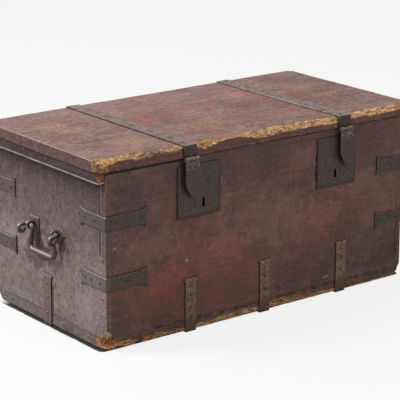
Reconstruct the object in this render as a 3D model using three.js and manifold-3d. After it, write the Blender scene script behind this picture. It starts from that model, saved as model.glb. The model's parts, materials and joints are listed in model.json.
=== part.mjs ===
// A joined plank sea chest with iron straps, two hasp locks and two drop handles.
// Millimetres, +X along the length, the front faces -Y, +Z up.
// The origin is the middle of the chest's footprint, on the floor.

import * as THREE from 'three';
import { mergeVertices } from 'three/addons/utils/BufferGeometryUtils.js';
import Module from 'manifold-3d';

const wasm = await Module();
wasm.setup();

// Case
const caseLength = 868;
const caseDepth = 446;
const wallHeight = 375;
const frontBoardThickness = 21;
const endBoardThickness = 17;
const bottomBoardThickness = 26.5;
const bottomCornerCut = 20;
const wallPlankShares = [0, 0.275, 0.776, 1];
const fingerHeightShare = 0.5;

// Lid
const lidThickness = 26;
const lidEndOverhang = 21;
const lidFrontOverhang = 6.5;
const lidCornerCut = 15;
const lidPlankShares = [0, 1 / 3, 2 / 3, 1];
const battenHeight = 24;
const battenInset = 3;
const battenClearance = 0.8;
const battenLip = 1.6;
const battenLipHeight = 3.4;

// Iron straps
const ironThickness = 2.5;
const lidStrapWidth = 35;
const lidStrapPlaceShares = [0.2535, 0.771];
const cornerStrapWidth = 30;
const cornerFlareWidth = 45;
const cornerFlareLength = 26;
const cornerLeftArm = 108;
const cornerRightArm = 88;
const cornerEndArm = 93;
const cornerStrapHeightShares = [0.336, 0.696];
const bottomStrapWidth = 29;
const bottomFlareWidth = 37;
const bottomFlareLength = 22;
const bottomStrapPlaceShares = [0.2615, 0.507, 0.775];
const bottomStrapArm = 126;
const endStrapArm = 118;
const endStrapRun = 60;
const endStrapPlaceShare = 0.51;
const hingeLeafLength = 90;
const flareBendShare = 0.35;
const flareNotchShare = 0.06;

// Hinge barrels and pins
const pinRadius = 2.9;
const pinHeadRadius = 4.2;
const pinHeadHeight = 1.6;
const turningClearance = 0.4;
const barrelWall = 1.7;
const barrelMiddleShare = 0.4;
const haspAxisDrop = 3;

// Hasps, each with a catch on its back
const haspDrop = 88;
const haspStandOff = 10.65;
const haspTipOffset = 10;
const catchDrop = 70;
const catchWidth = 4;
const catchHeight = 13.2;
const catchClearance = 0.6;
const haspOutlineShares = [
  [-0.5, -0.57], [-0.42, -0.71], [-0.2, -0.86], [0.05, -0.97], [0.29, -1],
  [0.55, -0.97], [0.78, -0.84], [0.87, -0.66], [0.84, -0.47], [0.72, -0.28], [0.5, -0.1],
];

// Locks
const lockPlateWidth = 117;
const lockPlateHeight = 118;
const lockPlateOffsets = [28.5, -18];
const lockPlateHeightShare = 0.787;
const keySides = [1, -1];
const keyholeDistance = 31;
const keyholeDrop = 36;
const keyholeHeight = 22;
const keyholeTopRadius = 3.3;
const keyholeLowRadius = 4.1;
const slotSideClearance = 2;
const slotEndClearance = 3;
const lockCaseDepth = 14;
const lockCaseWall = 1.6;
const lockCaseMargin = 15;
const lockCaseRim = 5;
const mortiseClearance = 0.3;
const boltHeight = 6;
const boltThickness = 2.2;
const boltClearance = 0.3;
const boltTravel = 12;
const boltRestGap = 2.5;
const boltTabWidth = 5;
const boltTabDrop = 13;
const guideWidth = 5;
const guideGap = 3;
const guideRail = 2;

// Drop handles
const handlePlaceShare = 0.51;
const handleHeightShare = 0.523;
const eyeSpacing = 96;
const bailDrop = 56;
const bailRadius = 5;
const bailFlare = 10;
const bailBend = 7;
const bailCorner = 12;
const bendEaseShare = 0.3;
const scrollRadius = 8;
const scrollReach = 7;
const eyeTubeRadius = 2.3;
const eyeClearance = 0.9;
const stemRadius = 3;
const stemClearance = 0.3;
const clinchReach = 15;
const clinchWidth = 5;
const clinchThickness = 2.2;
const roseWidth = 36;
const roseThickness = 2;
const roseGap = 0.5;

// How finely round shapes are cut, and how far apart two points may be and still be one
const cutOverrun = 5;
const roundSides = 16;
const arcSegments = 6;
const bailSides = 8;
const bailSteps = 88;
const ringSides = 8;
const ringSegments = 20;
const scrollSteps = 6;
const scrollTurnShare = 0.75;
const weldDistance = 1e-4;

// Worked out from the sizes above
const leftX = -caseLength / 2;
const rightX = caseLength / 2;
const frontY = -caseDepth / 2;
const backY = caseDepth / 2;
const boardZ = ironThickness;
const wallZ = boardZ + bottomBoardThickness;
const rimZ = wallZ + wallHeight;
const lidTopZ = rimZ + lidThickness;
const fingerZ = wallZ + wallHeight * fingerHeightShare;
const lidFrontY = frontY - lidFrontOverhang;
const lidLeftX = leftX - lidEndOverhang;
const lidRightX = rightX + lidEndOverhang;
const boreRadius = pinRadius + turningClearance;
const barrelRadius = boreRadius + barrelWall;
const barrelRoom = barrelRadius + turningClearance;
const hingeAxis = { y: backY + barrelRoom, z: rimZ - barrelRoom };
const haspAxis = { y: lidFrontY - barrelRoom, z: rimZ - haspAxisDrop };
const haspBackY = frontY - ironThickness - haspStandOff;
const haspCloseAngle = Math.atan((haspStandOff - catchClearance) / haspDrop);
const catchZ = haspAxis.z - catchDrop;
const slotHalfWidth = catchWidth / 2 + slotSideClearance;
const slotHalfHeight = catchHeight / 2 + slotEndClearance;
const keyholeZ = catchZ - keyholeDrop;
const ringRadius = bailRadius + eyeClearance + eyeTubeRadius;
const handleStandOff = roseThickness + roseGap + ringRadius + eyeTubeRadius;
const handleY = frontY + caseDepth * handlePlaceShare;
const handleZ = wallZ + wallHeight * handleHeightShare;

const chest = new THREE.Group();

const coats = {
  caseWood: { color: 0x5f4543, roughness: 0.75, metalness: 0 },
  endWood: { color: 0x7f6d69, roughness: 0.8, metalness: 0 },
  lidWood: { color: 0x84625a, roughness: 0.7, metalness: 0 },
  bottomWood: { color: 0x66493f, roughness: 0.8, metalness: 0 },
  iron: { color: 0x4d4844, roughness: 0.6, metalness: 0.8 },
  strapIron: { color: 0x5f584e, roughness: 0.65, metalness: 0.7 },
};

// Turns a closed three.js geometry into a solid that can be joined and cut.
function solidOf(geometry) {
  const bare = geometry.index ? geometry.toNonIndexed() : geometry.clone();
  bare.deleteAttribute('normal');
  bare.deleteAttribute('uv');
  const merged = mergeVertices(bare, weldDistance);
  const corners = merged.index.array;
  const kept = [];
  for (let i = 0; i < corners.length; i += 3) {
    const [a, b, c] = [corners[i], corners[i + 1], corners[i + 2]];
    if (a !== b && b !== c && c !== a) kept.push(a, b, c);
  }
  return new wasm.Manifold(new wasm.Mesh({
    numProp: 3,
    vertProperties: new Float32Array(merged.attributes.position.array),
    triVerts: new Uint32Array(kept),
  }));
}

function geometryOf(solid) {
  const mesh = solid.getMesh();
  const geometry = new THREE.BufferGeometry();
  geometry.setAttribute('position', new THREE.BufferAttribute(mesh.vertProperties.slice(), 3));
  geometry.setIndex(new THREE.BufferAttribute(mesh.triVerts.slice(), 1));
  geometry.computeVertexNormals();
  return geometry;
}

function addPiece(name, solid, coat) {
  const mesh = new THREE.Mesh(geometryOf(solid), new THREE.MeshStandardMaterial(coat));
  mesh.name = name;
  chest.add(mesh);
}

// A block between two opposite corners, given in any order.
function block([x0, x1], [y0, y1], [z0, z1]) {
  const geometry = new THREE.BoxGeometry(Math.abs(x1 - x0), Math.abs(y1 - y0), Math.abs(z1 - z0));
  geometry.translate((x0 + x1) / 2, (y0 + y1) / 2, (z0 + z1) / 2);
  return solidOf(geometry);
}

// A round bar along X.
function barAlongX(radius, x0, x1, axis) {
  const geometry = new THREE.CylinderGeometry(radius, radius, Math.abs(x1 - x0), roundSides);
  geometry.rotateZ(Math.PI / 2);
  geometry.translate((x0 + x1) / 2, axis.y, axis.z);
  return solidOf(geometry);
}

function joined(solids) {
  return solids.reduce((whole, solid) => whole.add(solid));
}

const axisX = new THREE.Vector3(1, 0, 0);
const axisY = new THREE.Vector3(0, 1, 0);
const axisZ = new THREE.Vector3(0, 0, 1);
const back = (direction) => direction.clone().negate();

// A plate cut to an outline and laid on a wall: `along` is the outline's first direction and
// `outward` the way its thickness grows.
function plateOnWall(outline, thickness, origin, along, outward) {
  const geometry = new THREE.ExtrudeGeometry(outline, {
    depth: thickness,
    bevelEnabled: false,
    curveSegments: arcSegments,
  });
  const across = new THREE.Vector3().crossVectors(outward, along);
  const place = new THREE.Matrix4().makeBasis(along, across, outward);
  place.setPosition(origin);
  geometry.applyMatrix4(place);
  return solidOf(geometry);
}

// A strap's outline from its root, straight and then flared to a fishtail end.
function strapOutline(length, width, flareWidth, flareLength) {
  const half = width / 2;
  const wide = flareWidth / 2;
  const bend = length - flareLength * flareBendShare;
  const outline = new THREE.Shape();
  outline.moveTo(0, -half);
  outline.lineTo(length - flareLength, -half);
  outline.quadraticCurveTo(bend, -half, length, -wide);
  outline.quadraticCurveTo(length - flareWidth * flareNotchShare, 0, length, wide);
  outline.quadraticCurveTo(bend, half, length - flareLength, half);
  outline.lineTo(0, half);
  outline.closePath();
  return outline;
}

// Sea chest walls: planks one above the other. The upper half of the front and back runs over
// the ends of the end boards, and the lower half sits between them.
const plankNames = ['lower', 'middle', 'upper'];

function wallPlank(yRange, z0, z1) {
  const inner = [leftX + endBoardThickness, rightX - endBoardThickness];
  if (z1 <= fingerZ) return block(inner, yRange, [z0, z1]);
  if (z0 >= fingerZ) return block([leftX, rightX], yRange, [z0, z1]);
  return block(inner, yRange, [z0, z1]).add(block([leftX, rightX], yRange, [fingerZ, z1]));
}

function lockPlaces() {
  return lidStrapPlaceShares.map((share, k) => {
    const strapX = leftX + caseLength * share;
    const slotX = strapX + haspTipOffset;
    return {
      name: ['left', 'right'][k],
      strapX,
      slotX,
      side: keySides[k],
      plateX: strapX + lockPlateOffsets[k],
      keyholeX: slotX + keySides[k] * keyholeDistance,
    };
  });
}

// The room of a lock case, measured from its slot towards its keyhole.
const lockCaseBottom = keyholeZ - keyholeHeight / 2 - lockCaseRim;
const lockCaseTop = catchZ + slotHalfHeight + lockCaseRim;
const lockCaseEnd = keyholeDistance + lockCaseMargin;

function lockRange(lock, u0, u1) {
  return [lock.slotX + lock.side * u0, lock.slotX + lock.side * u1];
}

function mortise(lock) {
  return block(
    lockRange(lock, -lockCaseMargin - mortiseClearance, lockCaseEnd + mortiseClearance),
    [frontY - cutOverrun, frontY + lockCaseDepth + mortiseClearance],
    [lockCaseBottom - mortiseClearance, lockCaseTop + mortiseClearance],
  );
}

function addWalls() {
  const cuts = lockPlaces().map(mortise);
  plankNames.forEach((name, k) => {
    const z0 = wallZ + wallHeight * wallPlankShares[k];
    const z1 = wallZ + wallHeight * wallPlankShares[k + 1];
    const whole = wallPlank([frontY, frontY + frontBoardThickness], z0, z1);
    const front = cuts.reduce((left, cut) => left.subtract(cut), whole);
    const backPlank = wallPlank([backY - frontBoardThickness, backY], z0, z1);
    addPiece(`front_board_${name}`, front, coats.caseWood);
    addPiece(`back_board_${name}`, backPlank, coats.caseWood);
  });
}

function addEndBoards() {
  for (const [name, side] of [['left', -1], ['right', 1]]) {
    const xRange = [side * rightX, side * (rightX - endBoardThickness)];
    const lower = block(xRange, [frontY, backY], [wallZ, fingerZ]);
    const upperY = [frontY + frontBoardThickness, backY - frontBoardThickness];
    const upper = block(xRange, upperY, [fingerZ, rimZ]);
    let board = lower.add(upper);
    for (const eyeY of [-1, 1].map((end) => handleY + end * eyeSpacing / 2)) {
      const hole = barAlongX(
        stemRadius + stemClearance,
        side * (rightX + cutOverrun),
        side * (rightX - endBoardThickness - cutOverrun),
        { y: eyeY, z: handleZ },
      );
      board = board.subtract(hole);
    }
    addPiece(`${name}_end_board`, board, coats.endWood);
  }
}

// A plank whose outline in plan has its outer corners cut off.
function plankInPlan([x0, x1], [y0, y1], [z0, z1], frontCut, backCut) {
  const outline = new THREE.Shape();
  outline.moveTo(x0 + frontCut, y0);
  outline.lineTo(x1 - frontCut, y0);
  outline.lineTo(x1, y0 + frontCut);
  outline.lineTo(x1, y1 - backCut);
  outline.lineTo(x1 - backCut, y1);
  outline.lineTo(x0 + backCut, y1);
  outline.lineTo(x0, y1 - backCut);
  outline.lineTo(x0, y0 + frontCut);
  outline.closePath();
  const origin = new THREE.Vector3(0, 0, z0);
  return plateOnWall(outline, z1 - z0, origin, axisX, axisZ);
}

function addBottom() {
  const zRange = [boardZ, wallZ];
  const xRange = [leftX, rightX];
  const front = plankInPlan(xRange, [frontY, 0], zRange, bottomCornerCut, 0);
  const backPlank = plankInPlan(xRange, [0, backY], zRange, 0, bottomCornerCut);
  addPiece('bottom_board_front', front, coats.bottomWood);
  addPiece('bottom_board_back', backPlank, coats.bottomWood);
}

function addLid() {
  const depth = backY - lidFrontY;
  ['front', 'middle', 'back'].forEach((name, k) => {
    const yRange = [lidPlankShares[k], lidPlankShares[k + 1]].map((share) => lidFrontY + depth * share);
    const frontCut = k === 0 ? lidCornerCut : 0;
    const backCut = k === 2 ? lidCornerCut : 0;
    const plank = plankInPlan([lidLeftX, lidRightX], yRange, [rimZ, lidTopZ], frontCut, backCut);
    addPiece(`lid_board_${name}`, plank, coats.lidWood);
  });
  for (const [name, side] of [['left', -1], ['right', 1]]) {
    const inner = side * (rightX + battenClearance);
    const lipX = side * (rightX + lidEndOverhang - battenInset);
    const outer = lipX - side * battenLip;
    const bottom = rimZ - battenHeight;
    const body = block([inner, outer], [frontY, backY], [bottom, rimZ]);
    const lip = block([inner, lipX], [frontY, backY], [bottom, bottom + battenLipHeight]);
    addPiece(`lid_batten_${name}`, body.add(lip), coats.lidWood);
  }
}

// A corner strap wraps one upright corner: an arm on the front or back, and one on the end wall.
function cornerStrap(side, frontSide, z) {
  const faceArm = side < 0 ? cornerLeftArm : cornerRightArm;
  const cornerX = side * (rightX + ironThickness);
  const cornerY = frontSide * (backY + ironThickness);
  const faceOutline = strapOutline(
    faceArm + ironThickness, cornerStrapWidth, cornerFlareWidth, cornerFlareLength);
  const endOutline = strapOutline(
    cornerEndArm + ironThickness, cornerStrapWidth, cornerFlareWidth, cornerFlareLength);
  const alongFace = side < 0 ? axisX : back(axisX);
  const outFace = frontSide < 0 ? back(axisY) : axisY;
  const alongEnd = frontSide < 0 ? axisY : back(axisY);
  const outEnd = side < 0 ? back(axisX) : axisX;
  const faceOrigin = new THREE.Vector3(cornerX, frontSide * backY, z);
  const endOrigin = new THREE.Vector3(side * rightX, cornerY, z);
  return joined([
    plateOnWall(faceOutline, ironThickness, faceOrigin, alongFace, outFace),
    plateOnWall(endOutline, ironThickness, endOrigin, alongEnd, outEnd),
  ]);
}

function addCornerStraps() {
  for (const [sideName, side] of [['left', -1], ['right', 1]]) {
    for (const [faceName, frontSide] of [['front', -1], ['back', 1]]) {
      ['lower', 'upper'].forEach((level, k) => {
        const z = wallZ + wallHeight * cornerStrapHeightShares[k];
        const strap = cornerStrap(side, frontSide, z);
        addPiece(`corner_strap_${faceName}_${sideName}_${level}`, strap, coats.iron);
      });
    }
  }
}

function addBottomStraps() {
  ['left', 'middle', 'right'].forEach((name, k) => {
    const x = leftX + caseLength * bottomStrapPlaceShares[k];
    const outline = strapOutline(bottomStrapArm, bottomStrapWidth, bottomFlareWidth, bottomFlareLength);
    const half = bottomStrapWidth / 2;
    const run = block(
      [x - half, x + half], [frontY - ironThickness, backY + ironThickness], [0, ironThickness]);
    const frontOrigin = new THREE.Vector3(x, frontY, 0);
    const backOrigin = new THREE.Vector3(x, backY, 0);
    addPiece(`bottom_strap_${name}`, joined([
      run,
      plateOnWall(outline, ironThickness, frontOrigin, axisZ, back(axisY)),
      plateOnWall(outline, ironThickness, backOrigin, axisZ, axisY),
    ]), coats.strapIron);
  });
}

function addEndStraps() {
  for (const [name, side] of [['left', -1], ['right', 1]]) {
    const y = frontY + caseDepth * endStrapPlaceShare;
    const outline = strapOutline(endStrapArm, bottomStrapWidth, bottomFlareWidth, bottomFlareLength);
    const half = bottomStrapWidth / 2;
    const outEnd = side < 0 ? back(axisX) : axisX;
    const runX = [side * (rightX + ironThickness), side * (rightX - endStrapRun)];
    const run = block(runX, [y - half, y + half], [0, ironThickness]);
    const origin = new THREE.Vector3(side * rightX, y, 0);
    addPiece(`end_strap_${name}`, joined([
      run,
      plateOnWall(outline, ironThickness, origin, axisZ, outEnd),
    ]), coats.strapIron);
  }
}

// Where the barrels of a strap hinge lie across its width.
function barrelRanges(x) {
  const half = lidStrapWidth / 2;
  const middle = half * barrelMiddleShare;
  return {
    middle: [[x - middle, x + middle]],
    sides: [[x - half, x - middle - turningClearance], [x + middle + turningClearance, x + half]],
  };
}

// Barrels on an axis, each with a tongue that joins it to its plate.
function barrels(ranges, axis, tongueY, tongueZ) {
  return joined(ranges.map(([x0, x1]) => joined([
    barAlongX(barrelRadius, x0, x1, axis),
    block([x0, x1], tongueY, tongueZ),
  ])));
}

function bored(solid, x, axis) {
  const reach = lidStrapWidth / 2 + cutOverrun;
  return solid.subtract(barAlongX(boreRadius, x - reach, x + reach, axis));
}

function lidStrap(x) {
  const half = lidStrapWidth / 2;
  const xRange = [x - half, x + half];
  const topZ = lidTopZ + ironThickness;
  const frontRange = [lidFrontY - ironThickness, lidFrontY];
  const backRange = [backY, backY + ironThickness];
  const frontFoldZ = haspAxis.z + barrelRoom + turningClearance;
  const backFoldZ = hingeAxis.z + barrelRoom + turningClearance;
  const { middle } = barrelRanges(x);
  let strap = joined([
    block(xRange, [frontRange[0], backRange[1]], [lidTopZ, topZ]),
    block(xRange, frontRange, [frontFoldZ, topZ]),
    block(xRange, backRange, [backFoldZ, topZ]),
    barrels(middle, haspAxis, frontRange, [haspAxis.z, topZ]),
    barrels(middle, hingeAxis, backRange, [hingeAxis.z, topZ]),
  ]);
  strap = bored(strap, x, haspAxis);
  return bored(strap, x, hingeAxis);
}

function hingeLeaf(x) {
  const leafTopZ = hingeAxis.z - barrelRoom;
  const outline = strapOutline(hingeLeafLength, lidStrapWidth, cornerFlareWidth, cornerFlareLength);
  const origin = new THREE.Vector3(x, backY, leafTopZ);
  const leaf = plateOnWall(outline, ironThickness, origin, back(axisZ), axisY);
  const { sides } = barrelRanges(x);
  const knuckles = barrels(sides, hingeAxis, [backY, backY + ironThickness], [leafTopZ, hingeAxis.z]);
  return bored(leaf.add(knuckles), x, hingeAxis);
}

// A hinge pin with a burred head at each end.
function hingePin(x, axis) {
  const half = lidStrapWidth / 2 + turningClearance;
  const profile = [
    [0, -half - pinHeadHeight],
    [pinHeadRadius, -half - pinHeadHeight],
    [pinHeadRadius, -half],
    [pinRadius, -half],
    [pinRadius, half],
    [pinHeadRadius, half],
    [pinHeadRadius, half + pinHeadHeight],
    [0, half + pinHeadHeight],
  ].map(([radius, height]) => new THREE.Vector2(radius, height));
  const geometry = new THREE.LatheGeometry(profile, roundSides);
  geometry.rotateZ(Math.PI / 2);
  geometry.translate(x, axis.y, axis.z);
  return solidOf(geometry);
}

function addLidStraps() {
  for (const lock of lockPlaces()) {
    addPiece(`lid_strap_${lock.name}`, lidStrap(lock.strapX), coats.iron);
    addPiece(`back_hinge_leaf_${lock.name}`, hingeLeaf(lock.strapX), coats.iron);
    addPiece(`back_hinge_pin_${lock.name}`, hingePin(lock.strapX, hingeAxis), coats.iron);
    addPiece(`hasp_pin_${lock.name}`, hingePin(lock.strapX, haspAxis), coats.iron);
  }
}

// The hasp's leaf: one straight side, a round tip and a swelling on the other side.
function haspOutline() {
  const points = haspOutlineShares.map(([u, v]) => new THREE.Vector2(u * lidStrapWidth, v * haspDrop));
  const half = lidStrapWidth / 2;
  const outline = new THREE.Shape();
  outline.moveTo(half, -barrelRoom);
  outline.lineTo(-half, -barrelRoom);
  outline.lineTo(points[0].x, points[0].y);
  outline.splineThru(points.slice(1));
  outline.closePath();
  return outline;
}

// The bolt's section, swung back from the closed hasp to the hanging one, is the catch's hole.
function catchHole(lock) {
  const reach = catchWidth / 2 + cutOverrun;
  const geometry = new THREE.BoxGeometry(
    2 * reach, boltThickness + 2 * boltClearance, boltHeight + 2 * boltClearance);
  const boltY = frontY + boltClearance + boltThickness / 2;
  geometry.translate(0, boltY - haspAxis.y, -catchDrop);
  geometry.rotateX(-haspCloseAngle);
  geometry.translate(lock.slotX, haspAxis.y, haspAxis.z);
  return solidOf(geometry);
}

function hasp(lock) {
  const leafOrigin = new THREE.Vector3(lock.strapX, haspBackY, haspAxis.z);
  const leaf = plateOnWall(haspOutline(), ironThickness, leafOrigin, axisX, back(axisY));
  const { sides } = barrelRanges(lock.strapX);
  const knuckles = barrels(
    sides, haspAxis, [haspBackY - ironThickness, haspBackY], [haspAxis.z - barrelRoom, haspAxis.z]);
  const catchTip = frontY - ironThickness - catchClearance;
  const catchPlate = block(
    [lock.slotX - catchWidth / 2, lock.slotX + catchWidth / 2],
    [haspBackY - ironThickness / 2, catchTip],
    [catchZ - catchHeight / 2, catchZ + catchHeight / 2],
  );
  const whole = joined([leaf, knuckles, catchPlate]).subtract(catchHole(lock));
  return bored(whole, lock.strapX, haspAxis);
}

function lockPlateOutline(lock) {
  const halfWidth = lockPlateWidth / 2;
  const halfHeight = lockPlateHeight / 2;
  const plateZ = wallZ + wallHeight * lockPlateHeightShare;
  const outline = new THREE.Shape();
  outline.moveTo(-halfWidth, -halfHeight);
  outline.lineTo(halfWidth, -halfHeight);
  outline.lineTo(halfWidth, halfHeight);
  outline.lineTo(-halfWidth, halfHeight);
  outline.closePath();
  const slotX = lock.slotX - lock.plateX;
  const slotZ = catchZ - plateZ;
  const slot = new THREE.Path();
  slot.moveTo(slotX - slotHalfWidth, slotZ - slotHalfHeight);
  slot.lineTo(slotX + slotHalfWidth, slotZ - slotHalfHeight);
  slot.lineTo(slotX + slotHalfWidth, slotZ + slotHalfHeight);
  slot.lineTo(slotX - slotHalfWidth, slotZ + slotHalfHeight);
  slot.closePath();
  const keyX = lock.keyholeX - lock.plateX;
  const keyZ = keyholeZ - plateZ;
  const keyhole = new THREE.Path();
  keyhole.absarc(keyX, keyZ + keyholeHeight / 2 - keyholeTopRadius, keyholeTopRadius, 0, Math.PI);
  keyhole.absarc(keyX, keyZ - keyholeHeight / 2 + keyholeLowRadius, keyholeLowRadius, Math.PI, 2 * Math.PI);
  keyhole.closePath();
  outline.holes.push(slot, keyhole);
  return { outline, plateZ };
}

// The lock's iron box is open to the front, where the plate closes it. Two forked guides hold
// the bolt against the plate.
const boltY = [frontY + boltClearance, frontY + boltClearance + boltThickness];
const boltNose = slotHalfWidth + boltRestGap;
const guideStarts = [boltNose, boltNose + guideWidth + guideGap];
const guideEnd = guideStarts[1] + guideWidth;
const boltTabStart = guideEnd + boltTravel + boltClearance;

function lockCase(lock) {
  const wall = lockCaseWall;
  const outer = block(
    lockRange(lock, -lockCaseMargin, lockCaseEnd),
    [frontY, frontY + lockCaseDepth],
    [lockCaseBottom, lockCaseTop],
  );
  const inner = block(
    lockRange(lock, -lockCaseMargin + wall, lockCaseEnd - wall),
    [frontY - cutOverrun, frontY + lockCaseDepth - wall],
    [lockCaseBottom + wall, lockCaseTop - wall],
  );
  const shell = outer.subtract(inner);
  const railHalf = boltHeight / 2 + boltClearance + guideRail;
  const guides = guideStarts.map((start) => block(
    lockRange(lock, start, start + guideWidth),
    [frontY, frontY + lockCaseDepth - wall / 2],
    [catchZ - railHalf, catchZ + railHalf],
  ));
  const channel = block(
    lockRange(lock, 0, guideEnd + cutOverrun),
    [frontY - cutOverrun, boltY[1] + boltClearance],
    [catchZ - boltHeight / 2 - boltClearance, catchZ + boltHeight / 2 + boltClearance],
  );
  return shell.add(joined(guides).subtract(channel));
}

function lockBolt(lock) {
  const tabEnd = boltTabStart + boltTabWidth;
  return joined([
    block(lockRange(lock, boltNose, tabEnd), boltY, [catchZ - boltHeight / 2, catchZ + boltHeight / 2]),
    block(lockRange(lock, boltTabStart, tabEnd), boltY, [catchZ - boltHeight / 2 - boltTabDrop, catchZ]),
  ]);
}

function addLocks() {
  for (const lock of lockPlaces()) {
    const { outline, plateZ } = lockPlateOutline(lock);
    const origin = new THREE.Vector3(lock.plateX, frontY, plateZ);
    const plate = plateOnWall(outline, ironThickness, origin, axisX, back(axisY));
    addPiece(`lock_plate_${lock.name}`, plate, coats.iron);
    addPiece(`lock_case_${lock.name}`, lockCase(lock), coats.iron);
    addPiece(`lock_bolt_${lock.name}`, lockBolt(lock), coats.iron);
    addPiece(`hasp_${lock.name}`, hasp(lock), coats.iron);
  }
}

// A handle is built around the middle of its turning axis: X out of the wall, Y along it.
// The left one is the right one turned half round.
function turnedToSide(geometry, side) {
  geometry.scale(side, side, 1);
  geometry.translate(side * (rightX + handleStandOff), handleY, handleZ);
  return solidOf(geometry);
}

function bailPath() {
  const eye = eyeSpacing / 2;
  const through = eyeTubeRadius + 2 * eyeClearance + bailRadius;
  const armTop = eye - through;
  const armLow = armTop + bailFlare;
  const scrollY = eye + eyeTubeRadius + bailBend + bailRadius;
  const cornerEase = bailCorner * bendEaseShare;
  const bendEase = bailBend * bendEaseShare;
  const half = [
    [0, armLow - 2 * bailCorner, -bailDrop],
    [0, armLow - bailCorner, -bailDrop],
    [0, armLow - cornerEase, -bailDrop + cornerEase],
    [0, armLow, -bailDrop + bailCorner],
    [0, (armTop + armLow) / 2, -bailDrop / 2],
    [0, armTop, -bailBend],
    [0, armTop + bendEase, -bendEase],
    [0, armTop + bailBend, 0],
    [0, scrollY - bailBend, 0],
    [bendEase, scrollY - bendEase, 0],
    [bailBend, scrollY, 0],
  ];
  const scrollCentre = [bailBend + scrollReach, -scrollRadius];
  for (let i = 0; i <= scrollSteps; i += 1) {
    const angle = Math.PI / 2 - 2 * Math.PI * scrollTurnShare * i / scrollSteps;
    half.push([
      scrollCentre[0] + scrollRadius * Math.cos(angle),
      scrollY,
      scrollCentre[1] + scrollRadius * Math.sin(angle),
    ]);
  }
  const points = half.map((point) => new THREE.Vector3(...point));
  const mirrored = points.map((point) => new THREE.Vector3(point.x, -point.y, point.z)).reverse();
  return new THREE.CatmullRomCurve3([...mirrored, ...points], false, 'centripetal');
}

function roundSection(radius, sides) {
  const outline = new THREE.Shape();
  for (let i = 0; i < sides; i += 1) {
    const angle = 2 * Math.PI * i / sides;
    const [x, y] = [radius * Math.cos(angle), radius * Math.sin(angle)];
    if (i === 0) outline.moveTo(x, y);
    else outline.lineTo(x, y);
  }
  outline.closePath();
  return outline;
}

function bail(side) {
  const geometry = new THREE.ExtrudeGeometry(roundSection(bailRadius, bailSides), {
    steps: bailSteps,
    bevelEnabled: false,
    extrudePath: bailPath(),
  });
  return turnedToSide(geometry, side);
}

// An eye is the loop of a split pin: ring, stem through rose and board, and legs bent flat inside.
function handleEye(side, end) {
  const ring = new THREE.TorusGeometry(ringRadius, eyeTubeRadius, ringSides, ringSegments);
  ring.rotateX(Math.PI / 2);
  const stemStart = -ringRadius;
  const stemEnd = -handleStandOff - endBoardThickness - clinchThickness / 2;
  const stem = new THREE.CylinderGeometry(stemRadius, stemRadius, stemStart - stemEnd, roundSides);
  stem.rotateZ(Math.PI / 2);
  stem.translate((stemStart + stemEnd) / 2, 0, 0);
  const clinchX = -handleStandOff - endBoardThickness - clinchThickness / 2;
  const legs = new THREE.BoxGeometry(clinchThickness, 2 * clinchReach, clinchWidth);
  legs.translate(clinchX, 0, 0);
  return joined([ring, stem, legs].map((geometry) => {
    geometry.translate(0, side * end * eyeSpacing / 2, 0);
    return turnedToSide(geometry, side);
  }));
}

// A rose is a small square plate under an eye. One of each pair has turned on its pin.
function handleRose(side, end) {
  const half = roseWidth / 2;
  const outline = new THREE.Shape();
  outline.moveTo(-half, -half);
  outline.lineTo(half, -half);
  outline.lineTo(half, half);
  outline.lineTo(-half, half);
  outline.closePath();
  const hole = new THREE.Path();
  hole.setFromPoints(roundSection(stemRadius + stemClearance, roundSides).getPoints());
  outline.holes.push(hole);
  const geometry = new THREE.ExtrudeGeometry(outline, { depth: roseThickness, bevelEnabled: false });
  if (end < 0) geometry.rotateZ(Math.PI / 4);
  geometry.rotateX(Math.PI / 2);
  geometry.rotateZ(Math.PI / 2);
  geometry.translate(-handleStandOff, side * end * eyeSpacing / 2, 0);
  return turnedToSide(geometry, side);
}

function addHandles() {
  for (const [name, side] of [['left', -1], ['right', 1]]) {
    addPiece(`handle_bail_${name}`, bail(side), coats.iron);
    for (const [endName, end] of [['front', -1], ['back', 1]]) {
      addPiece(`handle_eye_${name}_${endName}`, handleEye(side, end), coats.iron);
      addPiece(`handle_rose_${name}_${endName}`, handleRose(side, end), coats.iron);
    }
  }
}

addWalls();
addEndBoards();
addBottom();
addLid();
addCornerStraps();
addBottomStraps();
addEndStraps();
addLidStraps();
addLocks();
addHandles();

export default chest;
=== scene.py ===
# The looks of a joined plank sea chest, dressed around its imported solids.
# Metres, in the frame of the solids: +X along the length, the front faces -Y, +Z up.

import json
import math

import bmesh
import bpy
import numpy as np
from mathutils import Matrix, Vector

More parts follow.
